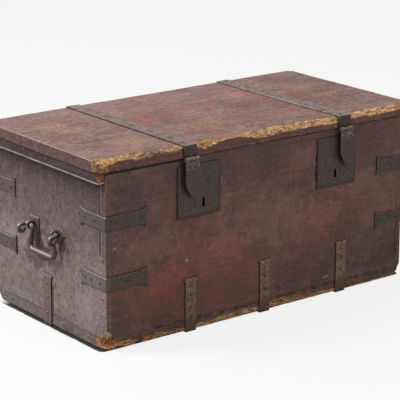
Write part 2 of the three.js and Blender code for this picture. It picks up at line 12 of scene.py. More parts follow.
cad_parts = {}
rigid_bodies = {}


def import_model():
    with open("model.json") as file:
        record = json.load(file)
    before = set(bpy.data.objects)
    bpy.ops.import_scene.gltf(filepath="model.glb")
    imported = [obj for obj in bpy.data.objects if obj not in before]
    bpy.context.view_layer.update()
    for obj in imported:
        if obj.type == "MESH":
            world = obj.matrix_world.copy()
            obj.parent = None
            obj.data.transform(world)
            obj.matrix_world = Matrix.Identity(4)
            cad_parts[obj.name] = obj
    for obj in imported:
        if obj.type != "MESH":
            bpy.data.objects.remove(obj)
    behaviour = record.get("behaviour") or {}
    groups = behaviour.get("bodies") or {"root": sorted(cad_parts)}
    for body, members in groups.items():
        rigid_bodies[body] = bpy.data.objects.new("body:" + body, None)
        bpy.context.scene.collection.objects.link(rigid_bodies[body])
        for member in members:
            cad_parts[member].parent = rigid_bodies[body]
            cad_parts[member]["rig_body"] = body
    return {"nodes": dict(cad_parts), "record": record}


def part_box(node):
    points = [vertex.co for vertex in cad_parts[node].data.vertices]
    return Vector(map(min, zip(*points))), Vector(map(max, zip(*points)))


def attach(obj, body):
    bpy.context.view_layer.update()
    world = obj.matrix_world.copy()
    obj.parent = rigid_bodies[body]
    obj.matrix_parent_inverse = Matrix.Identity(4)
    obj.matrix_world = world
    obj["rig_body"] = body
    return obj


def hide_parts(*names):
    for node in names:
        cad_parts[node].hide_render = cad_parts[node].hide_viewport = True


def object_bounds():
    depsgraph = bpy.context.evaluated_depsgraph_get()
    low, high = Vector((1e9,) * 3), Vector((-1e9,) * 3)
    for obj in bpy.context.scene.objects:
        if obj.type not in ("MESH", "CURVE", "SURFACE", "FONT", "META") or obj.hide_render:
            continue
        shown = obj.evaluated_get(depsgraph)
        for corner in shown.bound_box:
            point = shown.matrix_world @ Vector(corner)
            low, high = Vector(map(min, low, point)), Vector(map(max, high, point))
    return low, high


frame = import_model()
solid_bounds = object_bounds()

MM = 0.001
X, Y, Z = 0, 1, 2
HALF_ROOT = math.sqrt(0.5)


# Camera at the photograph's viewing angle

CAMERA_PLACE = Vector((-2.5054, -3.2130, 1.4154))
CAMERA_YAW = math.radians(37.8586)
CAMERA_PITCH = math.radians(16.4157)
CAMERA_ROLL = math.radians(0.2473)
CAMERA_LENS = 162.1


def add_camera():
    sin, cos = math.sin, math.cos
    flat = cos(CAMERA_PITCH)
    ahead = Vector((sin(CAMERA_YAW) * flat, cos(CAMERA_YAW) * flat, -sin(CAMERA_PITCH)))
    level = Vector((cos(CAMERA_YAW), -sin(CAMERA_YAW), 0))
    above = level.cross(ahead)
    right = level * cos(CAMERA_ROLL) + above * sin(CAMERA_ROLL)
    top = above * cos(CAMERA_ROLL) - level * sin(CAMERA_ROLL)
    data = bpy.data.cameras.new("camera")
    data.lens = CAMERA_LENS
    data.clip_end = 100
    camera = bpy.data.objects.new("camera", data)
    turn = Matrix((right, top, -ahead)).transposed().to_4x4()
    camera.matrix_world = Matrix.Translation(CAMERA_PLACE) @ turn
    bpy.context.scene.collection.objects.link(camera)
    bpy.context.scene.camera = camera


# Colours and node trees

def rgb(code):
    """A colour written as six hex digits, as the linear colour that a shader takes."""
    shares = [int(code[i:i + 2], 16) / 255 for i in (0, 2, 4)]
    linear = [s / 12.92 if s <= 0.04045 else ((s + 0.055) / 1.055) ** 2.4 for s in shares]
    return (*linear, 1)


class Net:
    """A node tree, built from short calls that each add a node and give back its output."""

    def __init__(self, tree):
        self.tree = tree

    def feed(self, socket, value):
        """Links an output to a socket, or sets the socket to a number or a hex colour."""
        if isinstance(value, bpy.types.NodeSocket):
            self.tree.links.new(value, socket)
        else:
            socket.default_value = rgb(value) if isinstance(value, str) else value

    def node(self, kind, inputs, **settings):
        node = self.tree.nodes.new("ShaderNode" + kind)
        for key, value in settings.items():
            setattr(node, key, value)
        for key, value in inputs.items():
            self.feed(node.inputs[key], value)
        return node

    def band(self, value, low, high, start=0, end=1):
        """Goes smoothly from start to end while value goes from low to high."""
        inputs = {"Value": value, "From Min": low, "From Max": high, "To Min": start, "To Max": end}
        return self.node("MapRange", inputs, interpolation_type="SMOOTHSTEP").outputs["Result"]

    def math(self, operation, *values):
        return self.node("Math", dict(enumerate(values)), operation=operation).outputs["Value"]

    def times(self, first, second):
        return self.math("MULTIPLY", first, second)

    def scaled(self, value, factor, shift):
        return self.math("MULTIPLY_ADD", value, factor, shift)

    def most(self, first, second):
        return self.math("MAXIMUM", first, second)

    def away(self, value, place):
        """How far a value lies from a place, either way."""
        return self.math("ABSOLUTE", self.math("SUBTRACT", value, place))

    def mix(self, share, first, second, blend="MIX"):
        settings = {"data_type": "RGBA", "blend_type": blend}
        return self.node("Mix", {0: share, 6: first, 7: second}, **settings).outputs[2]

    def over(self, colour, *layers):
        """Lays tints over a colour. Each lies where a noise passes from low to high."""
        for tint, share, low, high, *strength in layers:
            colour = self.mix(self.band(share, low, high, 0, *strength), colour, tint)
        return colour


class Paint(Net):
    """One material, with its places and directions."""

    def __init__(self, name):
        self.material = bpy.data.materials.new(name)
        self.material.use_nodes = True
        super().__init__(self.material.node_tree)
        where = self.node("TexCoord", {}).outputs
        self.place = where["Object"]
        self.places = self.node("SeparateXYZ", {"Vector": self.place}).outputs
        self.normal = self.node("SeparateXYZ", {"Vector": where["Normal"]}).outputs

    def shaded(self, inputs):
        """The material, once its shader has these inputs."""
        for key, value in inputs.items():
            self.feed(self.tree.nodes["Principled BSDF"].inputs[key], value)
        return self.material

    def attribute(self, name):
        return self.node("Attribute", {}, attribute_name=name).outputs["Fac"]

    def stretched(self, scale):
        return self.node("Mapping", {"Vector": self.place, "Scale": scale}).outputs["Vector"]

    def noise(self, scale, where=None, detail=3, rough=0.5, warp=0, change=0):
        """Noise with `scale` lumps to the metre. `change` picks another pattern."""
        inputs = {
            "Vector": self.place if where is None else where,
            "W": change, "Scale": scale, "Detail": detail, "Roughness": rough, "Distortion": warp,
        }
        return self.node("TexNoise", inputs, noise_dimensions="4D").outputs["Fac"]

    def facing(self, axis):
        """How far the surface faces along an axis, either way."""
        return self.band(self.math("ABSOLUTE", self.normal[axis]), 0.5, 0.8)

    def hidden(self, distance):
        """How deep the surface lies in a crevice, from 0 in the open to 1."""
        inputs = {"Distance": distance * MM}
        return self.band(self.node("AmbientOcclusion", inputs, samples=6).outputs["AO"], 0.95, 0.6)

    def patch(self, centre, reach, swing):
        """An irregular patch round a centre; its place and half-sizes are in millimetres."""
        scale = [1 / (size * MM) for size in reach]
        shift = [-place * MM * share for place, share in zip(centre, scale)]
        inputs = {"Vector": self.place, "Location": shift, "Scale": scale}
        inside = self.node("Mapping", inputs).outputs["Vector"]
        distance = self.node("VectorMath", {0: inside}, operation="LENGTH").outputs["Value"]
        ragged_edge = self.scaled(swing, 4.4, -2.2)
        return self.band(self.math("ADD", distance, ragged_edge), 1.0, 0.3)

    def reached(self, centre, reach):
        """Whether a stain is worth its nodes; wood looks at its boards for it."""
        return True

    def patched_over(self, colour, stains, swing, broken=None):
        """Lays irregular patches over a colour at given places: stains, painted shade and painted highlights;
        `broken` thins them out.
        """
        for tint, centre, reach, strength in stains:
            if self.reached(centre, reach):
                share = self.times(self.patch(centre, reach, swing), strength)
                if broken:
                    share = self.times(share, broken)
                colour = self.mix(share, colour, tint)
        return colour

    def bump(self, height, depth, strength):
        inputs = {"Height": height, "Distance": depth * MM, "Strength": strength}
        return self.node("Bump", inputs).outputs["Normal"]


# Smooth noise for shapes

def lattice(cells, seed):
    mixed = cells[..., 0] * 374761393 + cells[..., 1] * 668265263 + cells[..., 2] * 1440662683
    mixed = mixed + seed * 2246822519
    mixed = (mixed ^ (mixed >> 13)) * 1274126177
    mixed = mixed ^ (mixed >> 16)
    return (mixed & 0xFFFF) / 32767.5 - 1


def lumps(points, scale, seed):
    """Smooth noise from -1 to 1 at an array of points; scale is lumps to the metre, one per axis."""
    spots = np.asarray(points, float) * np.asarray(scale, float) + 1000
    base = np.floor(spots).astype(np.int64)
    inside = spots - base
    ease = inside * inside * (3 - 2 * inside)
    total = 0
    for corner in range(8):
        step = np.array([corner >> k & 1 for k in range(3)])
        weight = np.prod(np.where(step, ease, 1 - ease), axis=-1)
        total = total + weight * lattice(base + step, seed)
    return total


def ragged(points, scale, seed):
    """Three layers of noise, each finer and weaker than the last, from about -1 to 1."""
    total = 0
    for k in range(3):
        total = total + lumps(points, np.asarray(scale, float) * 2 ** k, seed + k) / 2 ** k
    return total / 1.75


def smooth(value, low, high):
    t = np.clip((value - low) / (high - low), 0, 1)
    return t * t * (3 - 2 * t)


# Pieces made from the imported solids

BODY_OF = {name: node["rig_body"] for name, node in frame["nodes"].items()}
SLOT_OF = {part["node"]: part["material_slot"] for part in frame["record"]["subparts"]}


def box_of(node):
    return [np.array(corner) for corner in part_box(node)]


def span(*names):
    """The lowest and highest corners of some nodes together."""
    lows, highs = zip(*(box_of(name) for name in names))
    return np.min(lows, axis=0), np.max(highs, axis=0)


def clean_copy(node):
    """A CAD node's solid as a bmesh, with each flat face whole."""
    bm = bmesh.new()
    bm.from_mesh(frame["nodes"][node].data)
    bmesh.ops.remove_doubles(bm, verts=bm.verts, dist=0.01 * MM)
    bmesh.ops.dissolve_limit(bm, angle_limit=math.radians(0.5), verts=bm.verts, edges=bm.edges)
    return bm


def slice_at(bm, axis, places):
    """Cuts every face along planes square to an axis, so that the piece can be shaped."""
    normal = Vector((0, 0, 0))
    normal[axis] = 1
    for place in places:
        geometry = bm.verts[:] + bm.edges[:] + bm.faces[:]
        bmesh.ops.bisect_plane(
            bm, geom=geometry, dist=0.001 * MM, plane_co=normal * place, plane_no=normal)


def steps_between(low, high, step):
    count = max(2, round((high - low) / step))
    return np.linspace(low, high, count + 1)[1:-1]


def points_of(bm):
    return np.array([vertex.co for vertex in bm.verts]).reshape(-1, 3)


def put_points(bm, points):
    for vertex, point in zip(bm.verts, points):
        vertex.co = point


def finished(bm, name, node, paint, attributes, sharp=35):
    """Turns a bmesh into a piece that rides on a node's body and wears the given paint."""
    mesh = bpy.data.meshes.new(name)
    bmesh.ops.recalc_face_normals(bm, faces=bm.faces)
    for face in bm.faces:
        face.smooth = True
    bm.to_mesh(mesh)
    bm.free()
    mesh.set_sharp_from_angle(angle=math.radians(sharp))
    for key, values in attributes.items():
        layer = mesh.attributes.new(key, "FLOAT", "POINT")
        layer.data.foreach_set("value", np.asarray(values, np.float32))
    piece = bpy.data.objects.new(name, mesh)
    piece.data.materials.append(paints[paint])
    bpy.context.scene.collection.objects.link(piece)
    body, slot = BODY_OF[node], SLOT_OF[node]
    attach(piece, body)
    return piece


# Sizes of the whole, from the solids

case_low, case_high = span("left_end_board", "right_end_board", "bottom_board_front")
lid_low, lid_high = span("lid_board_front", "lid_board_middle", "lid_board_back")
bottom_low, bottom_high = span("bottom_board_front", "bottom_board_back")
LID_CUT = 15 * MM
BOTTOM_CUT = 20 * MM
IRON = 2.5 * MM
# Half the length and depth of the space inside, with a little room for worn faces
INNER_HALF = (417.8 * MM, 202.8 * MM)
# Where the front boards' ends meet the end walls: half-depth of the chest between the joints,
# the height of the joint's step, and the lines along it: place, half-width, tint, strength
HOUSING_LINE = 202 * MM
FINGER_STEP = 216.5 * MM
HOUSING_MARKS = [(0, 2.2, "251a19", 0.9), (5.2, 2.2, "a89c94", 0.5), (9.5, 1.8, "4a3f3c", 0.5)]


# Stains, painted shade and painted highlights, in millimetres: colour, centre, half-sizes, strength

def spots(axis, place, depth, *rows):
    """Stains, painted shade and painted highlights on one flat face. The rows leave out the axis across it,
    where all have one place.
    """
    made = []
    for tint, a, b, half_a, half_b, strength in rows:
        centre, reach = [a, b], [half_a, half_b]
        centre.insert(axis, place)
        reach.insert(axis, depth)
        made.append((tint, centre, reach, strength))
    return made


# How far beyond its own size a stain's ragged edge may reach, as a factor
STAIN_SPREAD = 1.4

# Colours of the bare wood where it differs: pinkish on top of the near corner's chip, a crack
# through it, orange below, and pinkish at the back corner
BARE_STAINS = [
    ("c9a890", (-434, -223, 44), (44, 44, 16), 0.9),
    ("bc5a28", (-428, -217, 15), (40, 40, 14), 0.9),
    ("1e100b", (-434, -223, 30), (30, 30, 3.5), 0.9),
    ("8a5a50", (-434, 213, 15), (40, 60, 40), 0.9),
] + spots(
    Y, -223, 60,
    ("6e4a34", 150, 18, 70, 14, 0.6), ("c06a30", -380, 14, 26, 14, 0.9),
    ("b87244", -311, 14, 28, 14, 0.8), ("4e3a2e", -256, 16, 34, 16, 0.7))
# Darker stretches of it: parts of the lid's front and its lower edge, the foot near the corner, and a painted
# shadow along the foot's bottom edge
BARE_SHADES = [
    ("5c3218", (-340, -229, 424), (130, 50, 40), 0.6),
    ("6a3e20", (60, -229, 424), (130, 50, 40), 0.2),
    ("7a4a34", (0, -229, 404), (460, 20, 5), 0.7),
] + spots(
    Y, -223, 40,
    ("1c110c", -346, 9, 15, 14, 0.9), ("2c160d", -405, 5, 20, 9, 0.7), ("1c110c", -300, 2, 150, 4, 0.8))

# On the ends: stains, painted shade under and inside the handle, and painted shadows of the handle and beside
# the end strap
END_STAINS_AND_SHADE = spots(
    X, -434, 60,
    ("b7a3a2", -150, 95, 55, 80, 0.6), ("7c7870", 90, 60, 70, 60, 0.5), ("94605a", 60, 235, 30, 40, 0.5),
    ("6c4c49", -6, 208, 46, 26, 0.7), ("7a5a56", 60, 290, 60, 20, 0.4),
) + spots(
    X, -434, 10,
    ("4a3c3b", -212, 204, 5, 4, 0.9), ("4a3c3b", -211, 118, 4, 4, 0.9), ("54403f", 150, 120, 4, 4, 0.8),
) + spots(
    X, -434, 60,
    ("b6a6a8", 158, 168, 56, 50, 0.6), ("7a4a44", -78, 215, 42, 48, 0.4), ("7a5048", 34, 238, 40, 30, 0.4),
) + spots(
    X, -434, 10,
    # Painted shadows of the handle's bail on the wall, and a painted shadow beside the end strap's edge
    ("3a2624", 32, 205, 13, 36, 0.75), ("2c1d1c", 14, 177, 44, 9, 0.85), ("4a2c2a", -52, 203, 15, 38, 0.75),
    ("2e1e1e", -15.5, 62, 4, 62, 0.85),
) + spots(
    X, -434, 60,
    # The first two: painted shade under and inside the handle
    ("5c4848", 45, 155, 70, 62, 0.6), ("5c4848", -24, 190, 36, 26, 0.5), ("a29c9e", 110, 42, 66, 14, 0.5))

# On the battens' front ends
BATTEN_STAINS = [
    ("9a4a34", (-442, -222, 396), (14, 8, 7), 0.9),
    ("c07a3c", (-448, -222, 388), (8, 8, 8), 0.9),
]

# On the front
FRONT_STAINS = spots(
    Y, -223, 60,
    ("9a4b42", -270, 110, 60, 55, 0.6), ("98706a", -300, 215, 120, 50, 0.45),
    ("564446", -370, 345, 80, 60, 0.55), ("93503f", -80, 130, 110, 50, 0.45),
    ("96706a", 20, 225, 190, 80, 0.5), ("54453c", 330, 90, 130, 70, 0.5),
    ("513f39", 120, 70, 110, 50, 0.6), ("54423d", -395, 60, 36, 70, 0.6),
    ("8e6258", 370, 200, 70, 60, 0.4), ("7c4434", -150, 70, 260, 60, 0.3),
    ("5a4640", 60, 385, 300, 22, 0.5), ("9c5850", -190, 190, 130, 80, 0.35),
    ("48332a", 370, 60, 120, 50, 0.4), ("48322c", -300, 44, 70, 22, 0.5),
    ("2a1a18", 417, 118, 3.2, 98, 0.9), ("a05a4c", -300, 140, 150, 50, 0.35),
    ("a86a5e", -90, 180, 90, 50, 0.35), ("a86a5e", 170, 200, 90, 60, 0.35),
    ("a86a5e", 395, 160, 40, 30, 0.45), ("a86a5e", -130, 285, 60, 30, 0.3),
    ("a8685a", 214, 270, 70, 30, 0.3), ("1c1110", -270, 30.5, 190, 2.6, 0.7))

# On the foot's front and its left end
FOOT_STAINS = spots(
    Y, -223, 40,
    ("3d302b", 345, 24, 130, 8, 0.5), ("3a2a24", 20, 27, 250, 7, 0.7),
    ("2c211e", -346, 12, 15, 26, 0.8), ("33241e", -400, 5, 90, 5, 0.7))
FOOT_END_STAINS = [("878480", (-434, 130, 16), (60, 120, 60), 0.8)]

# Where the front's colour has chipped off, and dark spots beside the lock plates
FRONT_FLECKS = spots(
    Y, -223, 5,
    ("d8a8a0", -411, 251, 5, 3.5, 0.9), ("b8a294", -411, 232, 4.5, 4, 0.9),
    ("e8dcd4", -217, 168, 2.5, 5, 1), ("b08a50", 192, 45, 16, 4, 0.8),
    ("8a6f5c", -395, 305, 3, 3, 0.8), ("96705e", -112, 330, 4, 5, 0.7),
) + spots(
    Y, -223, 6,
    ("0c0807", -125, 350, 3, 5, 1), ("0c0807", -124.5, 336, 2.4, 11, 1), ("b4988c", -121, 335, 2, 10, 0.7),
    ("0c0807", 156, 339, 4, 15, 1), ("0c0807", 156, 303, 3.5, 20, 1))

# On the lid's top
LID_STAINS = spots(
    Z, 430, 60,
    ("b04034", 286, 0, 36, 60, 0.8), ("aa463a", 196, -30, 20, 110, 0.7), ("bc5c38", -45, -34, 46, 16, 0.8),
    ("c0705e", -90, -212, 60, 26, 0.7), ("ab5040", 40, 60, 60, 26, 0.5), ("a84a3a", 204, 100, 40, 30, 0.6),
    ("a04844", -407, -6, 34, 30, 0.6), ("9c4038", -363, 20, 30, 20, 0.5), ("b05c46", -120, -130, 70, 30, 0.5),
    ("b8604a", 130, -110, 80, 30, 0.5), ("6e4c4c", -380, 10, 130, 120, 0.6),
    ("b4604c", -100, 40, 120, 50, 0.35), ("5e3e3a", -80, -92, 60, 70, 0.6),
    ("5e4038", 345, -90, 130, 90, 0.5), ("5e3a34", 245, -55, 70, 40, 0.5),
    ("cc9482", 160, 78, 50, 56, 0.6), ("6a4640", 130, -170, 190, 34, 0.5),
    ("b8a09a", -165, -172, 60, 25, 0.4), ("bc6a58", -160, 4, 46, 40, 0.5),
    ("6c3a30", 322, -30, 130, 66, 0.5), ("6a4844", -360, -115, 90, 80, 0.4),
    ("8e5a60", -320, 60, 120, 40, 0.3), ("bca29e", -280, 186, 90, 26, 0.45),
    ("7e4036", 110, -90, 430, 110, 0.38), ("7e4036", 310, -50, 150, 90, 0.4))
# Where the lid's top is specked with yellow; white only marks the places
LID_GOLD = spots(
    Z, 430, 60,
    ("ffffff", -361, 84, 50, 40, 1), ("ffffff", -345, 30, 40, 26, 1), ("ffffff", -300, -130, 70, 50, 0.8),
    ("ffffff", 353, -28, 60, 24, 1), ("ffffff", 342, 60, 60, 60, 0.45), ("ffffff", -60, -90, 110, 50, 0.5),
    ("ffffff", 170, -150, 120, 30, 0.4))

# On the iron: coppery and pale on the left handle's roses, a pale line as a painted highlight along the left
# edge of the lid's right strap, and dark spots beside the left one's nails
IRON_STAINS_AND_HIGHLIGHT = [
    ("d39a78", (-437, 54, 246), (9, 20, 8), 0.8),
    ("a89484", (-437, -46, 238), (9, 22, 9), 0.6),
    ("d6c6bc", (219, 0, 432), (3.6, 240, 4), 0.7),
    ("a09492", (-437, -178, 155), (20, 70, 30), 0.5),
    ("6e4a42", (235, 20, 432), (24, 160, 4), 0.35),
] + spots(
    Z, 432, 5,
    ("120d0b", -209, 80, 7, 8, 1), ("120d0b", -212, -11, 7, 8, 1), ("120d0b", -211, -154, 7, 9, 1))


# Paints for wood

class Wood(Paint):
    """Old stained wood, with noises that its layers share."""

    def __init__(self, slot, grain):
        super().__init__(slot + "_paint")
        self.boxes = [box_of(node) for node in SLOT_OF if SLOT_OF[node] == slot]
        self.grain = grain
        self.streaks = self.drawn_out(0.08)
        self.plank = self.attribute("plank")
        self.fine = self.noise(300, self.streaks, detail=4, rough=0.7, change=self.plank)
        self.figure = self.noise(85, self.streaks, detail=4, rough=0.6, warp=0.5, change=self.plank)
        self.clouds = self.noise(8, detail=4, rough=0.6, change=self.plank)
        self.blotch = self.noise(42, detail=6, rough=0.7, change=self.plank)
        self.second_blotch = self.noise(60, detail=5, rough=0.7, change=5.3)
        self.mottle = self.noise(130, detail=4, rough=0.75, change=2.9)
        self.grit = self.noise(430, detail=3, rough=0.65, change=self.plank)
        self.hue = self.noise(24, detail=3, rough=0.55, warp=0.4, change=9.4)

    def drawn_out(self, share):
        """Places squeezed along the grain, so that noise there makes streaks."""
        squeeze = [1, 1, 1]
        squeeze[self.grain] = share
        return self.stretched(squeeze)

    def reached(self, centre, reach):
        """Whether a stain lies on any of the boards that wear this paint."""
        middle, half = np.array(centre) * MM, np.array(reach) * STAIN_SPREAD * MM
        return any(
            np.all(middle - half < high) and np.all(middle + half > low) for low, high in self.boxes)

    def upward(self, low, high):
        return self.band(self.normal[Z], low, high)

    def figured(self, dark, light, low=0.36, high=0.66):
        """Two colours in the broad figure of the grain."""
        return self.mix(self.band(self.figure, low, high), dark, light)

    def clouded(self, colour, yellowish, purplish, strength):
        """Lays broad clouds of two hues over a colour."""
        return self.over(
            colour, (yellowish, self.hue, 0.5, 0.62, strength), (purplish, self.hue, 0.48, 0.36, strength))

    def bare(self):
        """The raw wood that shows where the stain has worn away: pale above, browner below."""
        strokes = self.drawn_out(0.22)
        fibre = self.noise(300, strokes, detail=5, rough=0.75, change=self.plank)
        upright = self.noise(260, self.stretched((1, 1, 0.25)), detail=5, rough=0.75, change=2.2)
        fibre = self.scaled(self.attribute("chip"), self.math("SUBTRACT", upright, fibre), fibre)
        broad = self.noise(60, strokes, detail=4, change=self.plank)
        above = self.upward(0.0, 0.4)
        colour = self.mix(above, "b07a4e", "e2a45c")
        colour = self.over(colour, ("8a4a24", broad, 0.5, 0.64, 0.7))
        colour = self.patched_over(colour, BARE_STAINS, self.mottle)
        colour = self.over(colour, ("46240f", fibre, 0.465, 0.36, 0.95))
        colour = self.mix(self.band(fibre, 0.5, 0.575), colour, self.mix(above, "e4bc8e", "ffe5ba"))
        broken = self.band(broad, 0.42, 0.56, 0.55, 1)
        colour = self.patched_over(colour, BARE_SHADES, self.mottle, broken)
        cracks = self.noise(130, strokes, detail=4, rough=0.6, change=6.2)
        return self.over(colour, ("2a150c", self.away(cracks, 0.5), 0.03, 0.006, 0.9))

    def finish(self, colour, lines=0.4, contrast=1, specks=1, relief=1,
               rub_highlight_tint="b09a93", rub_highlight_share=0.5, sparkle=0.4):
        """Adds grain, specks, grime with painted shade in crevices, and worn arrises, rubbed pale with a
        painted highlight, to a base colour and sets up the shader.
        """
        uneven = self.scaled(self.mottle, 0.6, self.grit)
        uneven = self.scaled(uneven, 2 * sparkle, 1 - 1.6 * sparkle)
        colour = self.mix(1, colour, uneven, "MULTIPLY")
        loose = self.noise(170, self.streaks, detail=4, rough=0.72, change=self.plank)
        colour = self.over(
            colour,
            ("2b1d1c", self.fine, 0.42, 0.74, lines),
            ("241817", self.mottle, 0.5, 0.3, 0.55 * contrast),
            ("b59c92", self.mottle, 0.52, 0.7, 0.32 * contrast),
            ("d0b6a4", self.grit, 0.6, 0.7, 0.35 * specks),
            ("1f1615", self.grit, 0.4, 0.29, 0.6 * specks),
            # Pale on the rounded arrises: rubbed wear and a painted highlight
            (rub_highlight_tint, self.scaled(loose, -1.6, self.attribute("rub")), -0.1, 0.3, rub_highlight_share))
        bare_share = self.attribute("bare")
        worn = self.band(self.scaled(loose, -1.3, bare_share), -0.5, -0.4)
        worn = self.times(worn, self.band(bare_share, 0.02, 0.1))
        colour = self.mix(worn, colour, self.bare())
        seam = self.times(self.attribute("seam"), self.band(self.clouds, 0.4, 0.6, 0.1, 0.85))
        colour = self.mix(seam, colour, "1d1413")
        # Darker in crevices: grime and painted shade
        crevice = self.times(self.hidden(7), self.band(self.blotch, 0.3, 0.6, 0.6, 0.92))
        crevice = self.times(crevice, self.band(worn, 0, 1, 1, 0.35))
        height = self.scaled(self.figure, 1.2 * relief, self.times(self.fine, relief))
        height = self.scaled(self.mottle, 1.4, height)
        return self.shaded({
            "Base Color": self.mix(crevice, colour, "150e0d"),
            "Roughness": self.band(self.fine, 0.3, 0.7, 0.49, 0.69),
            "Specular IOR Level": 0.35,
            "Normal": self.bump(self.scaled(worn, self.times(loose, 2.2), height), 0.8, 0.9),
        })


def raw_tones(wood):
    """The unpainted wood inside: dry brown with its grain and a few dark spots."""
    return wood.over(
        wood.figured("6f5a49", "8a7260", 0.34, 0.68),
        ("5a4637", wood.clouds, 0.48, 0.34, 0.6),
        ("96806c", wood.second_blotch, 0.54, 0.66, 0.4),
        ("4a382c", wood.blotch, 0.56, 0.68, 0.4))


def front_tones(wood):
    """Dark maroon and brown in soft clouds, with a painted black shadow under the lid."""
    drift = wood.noise(19, detail=4, rough=0.6, warp=0.6, change=wood.plank)
    colour = wood.over(
        wood.figured("6d4d49", "7b5851"),
        ("89534d", drift, 0.48, 0.64, 0.7), ("604d46", drift, 0.48, 0.36, 0.6),
        ("8f6c66", wood.clouds, 0.5, 0.62, 0.55), ("543e40", wood.clouds, 0.47, 0.34, 0.5),
        ("6b5658", wood.second_blotch, 0.46, 0.36, 0.45), ("90564c", wood.blotch, 0.52, 0.64, 0.35))
    colour = wood.clouded(colour, "665140", "6b494d", 0.35)
    colour = wood.patched_over(colour, FRONT_STAINS, wood.blotch)
    colour = wood.patched_over(colour, FRONT_FLECKS, wood.mottle)
    # A painted black shadow along the top, under the lid's overhang, reaching lower towards the left
    shadow_widening = wood.band(wood.places[X], -260 * MM, -110 * MM, 4 * MM, -1 * MM)
    height = wood.math("ADD", wood.scaled(wood.blotch, 6 * MM, wood.places[Z]), shadow_widening)
    return wood.over(colour, ("060303", height, case_high[Z] - 1.2 * MM, case_high[Z] + 0.4 * MM, 0.97))


def end_tones(wood):
    """Faded mauve-grey, darker under the lid with grime and painted shade, and the joints of the front
    boards.
    """
    drips = wood.noise(60, wood.stretched((1, 1, 0.16)), detail=5, rough=0.7)
    colour = wood.over(
        wood.mix(wood.band(wood.blotch, 0.38, 0.62), "8f7a79", "a88f8e"),
        ("ac8078", wood.second_blotch, 0.52, 0.64, 0.5), ("7d7872", wood.clouds, 0.46, 0.36, 0.6),
        ("5f5050", wood.mottle, 0.42, 0.32, 0.6), ("c3aeac", wood.mottle, 0.58, 0.68, 0.5))
    colour = wood.clouded(colour, "8f867c", "a07c7a", 0.4)
    colour = wood.patched_over(colour, END_STAINS_AND_SHADE, wood.blotch)
    # Darker towards the top, under the lid's overhang: grime and painted shade, with a ragged edge of drips
    z = wood.places[Z]
    height = wood.scaled(drips, 0.12, z)
    colour = wood.over(colour, ("6a5857", height, 0.21, 0.36, 0.75), ("35292a", height, 0.34, 0.44, 0.85))
    out = wood.math("ABSOLUTE", wood.places[Y])
    above_step = wood.band(z, FINGER_STEP - 0.3 * MM, FINGER_STEP + 0.3 * MM)
    strip = wood.band(out, HOUSING_LINE, HOUSING_LINE + 1 * MM)
    colour = wood.mix(wood.times(above_step, wood.times(strip, 0.4)), colour, "6f6660")
    for place, half, tint, strength in HOUSING_MARKS:
        away = wood.away(out, HOUSING_LINE + place * MM)
        line = wood.band(away, half * MM, half * 0.4 * MM, 0, strength)
        line = wood.times(line, wood.band(wood.mottle, 0.3, 0.5, 0.5, 1))
        colour = wood.mix(wood.times(line, above_step), colour, tint)
    line = wood.band(wood.away(z, FINGER_STEP), 1.6 * MM, 0.6 * MM, 0, 0.7)
    return wood.mix(wood.times(line, strip), colour, "2e2221")


def lid_tones(wood):
    """Dusty mauve-brown on the top, with red and yellow stains where the colour has rubbed through."""
    short = wood.noise(240, wood.stretched((0.3, 1, 1)), detail=4, rough=0.72, change=6.6)
    veins = wood.noise(110, wood.stretched((0.14, 1, 1)), detail=4, rough=0.65, change=4.1)
    top = wood.figured("82594f", "a37f76", 0.36, 0.64)
    top = wood.over(top, ("9c5446", veins, 0.52, 0.62, 0.6), ("c4a298", veins, 0.47, 0.38, 0.5))
    top = wood.over(
        wood.clouded(top, "967c5e", "825864", 0.35),
        ("ac5648", wood.blotch, 0.5, 0.6, 0.55),
        ("8f8482", wood.second_blotch, 0.5, 0.62, 0.5), ("7c4c48", wood.second_blotch, 0.47, 0.38, 0.4),
        ("604442", wood.clouds, 0.49, 0.36, 0.6), ("ab8981", wood.clouds, 0.51, 0.62, 0.5))
    top = wood.patched_over(top, LID_STAINS, wood.second_blotch, wood.band(short, 0.36, 0.54, 0.4, 1))
    top = wood.over(top, ("5e423e", short, 0.46, 0.33, 0.7), ("b89e92", short, 0.54, 0.66, 0.7))
    broken = wood.noise(330, detail=3, rough=0.7, change=8)
    gold = wood.patched_over("000000", LID_GOLD, wood.mottle)
    share = wood.times(wood.band(gold, 0.05, 0.6), wood.band(broken, 0.53, 0.59, 0.08, 1))
    top = wood.mix(share, top, "e4ba74")
    side = wood.over(wood.figured("654440", "7c5047"), ("8c5a4c", wood.blotch, 0.52, 0.62, 0.5))
    side = wood.mix(wood.facing(X), side, wood.figured("65494a", "805c54"))
    side = wood.mix(wood.facing(Z), side, raw_tones(wood))
    return wood.mix(wood.upward(0.5, 0.8), side, top)


def bottom_tones(wood):
    """Brown with rubbed orange-brown clouds in front, the wall's faded mauve on the ends."""
    colour = wood.over(wood.figured("54403a", "6f5246"), ("96623c", wood.blotch, 0.5, 0.62, 0.6))
    colour = wood.patched_over(colour, FOOT_STAINS, wood.blotch)
    end = wood.mix(wood.band(wood.blotch, 0.36, 0.64), "7c6c6a", "978380")
    end = wood.over(end, ("5a4d4a", wood.second_blotch, 0.56, 0.68, 0.6))
    end = wood.patched_over(end, FOOT_END_STAINS, wood.blotch)
    colour = wood.mix(wood.facing(X), colour, end)
    return wood.mix(wood.upward(0.5, 0.8), colour, raw_tones(wood))


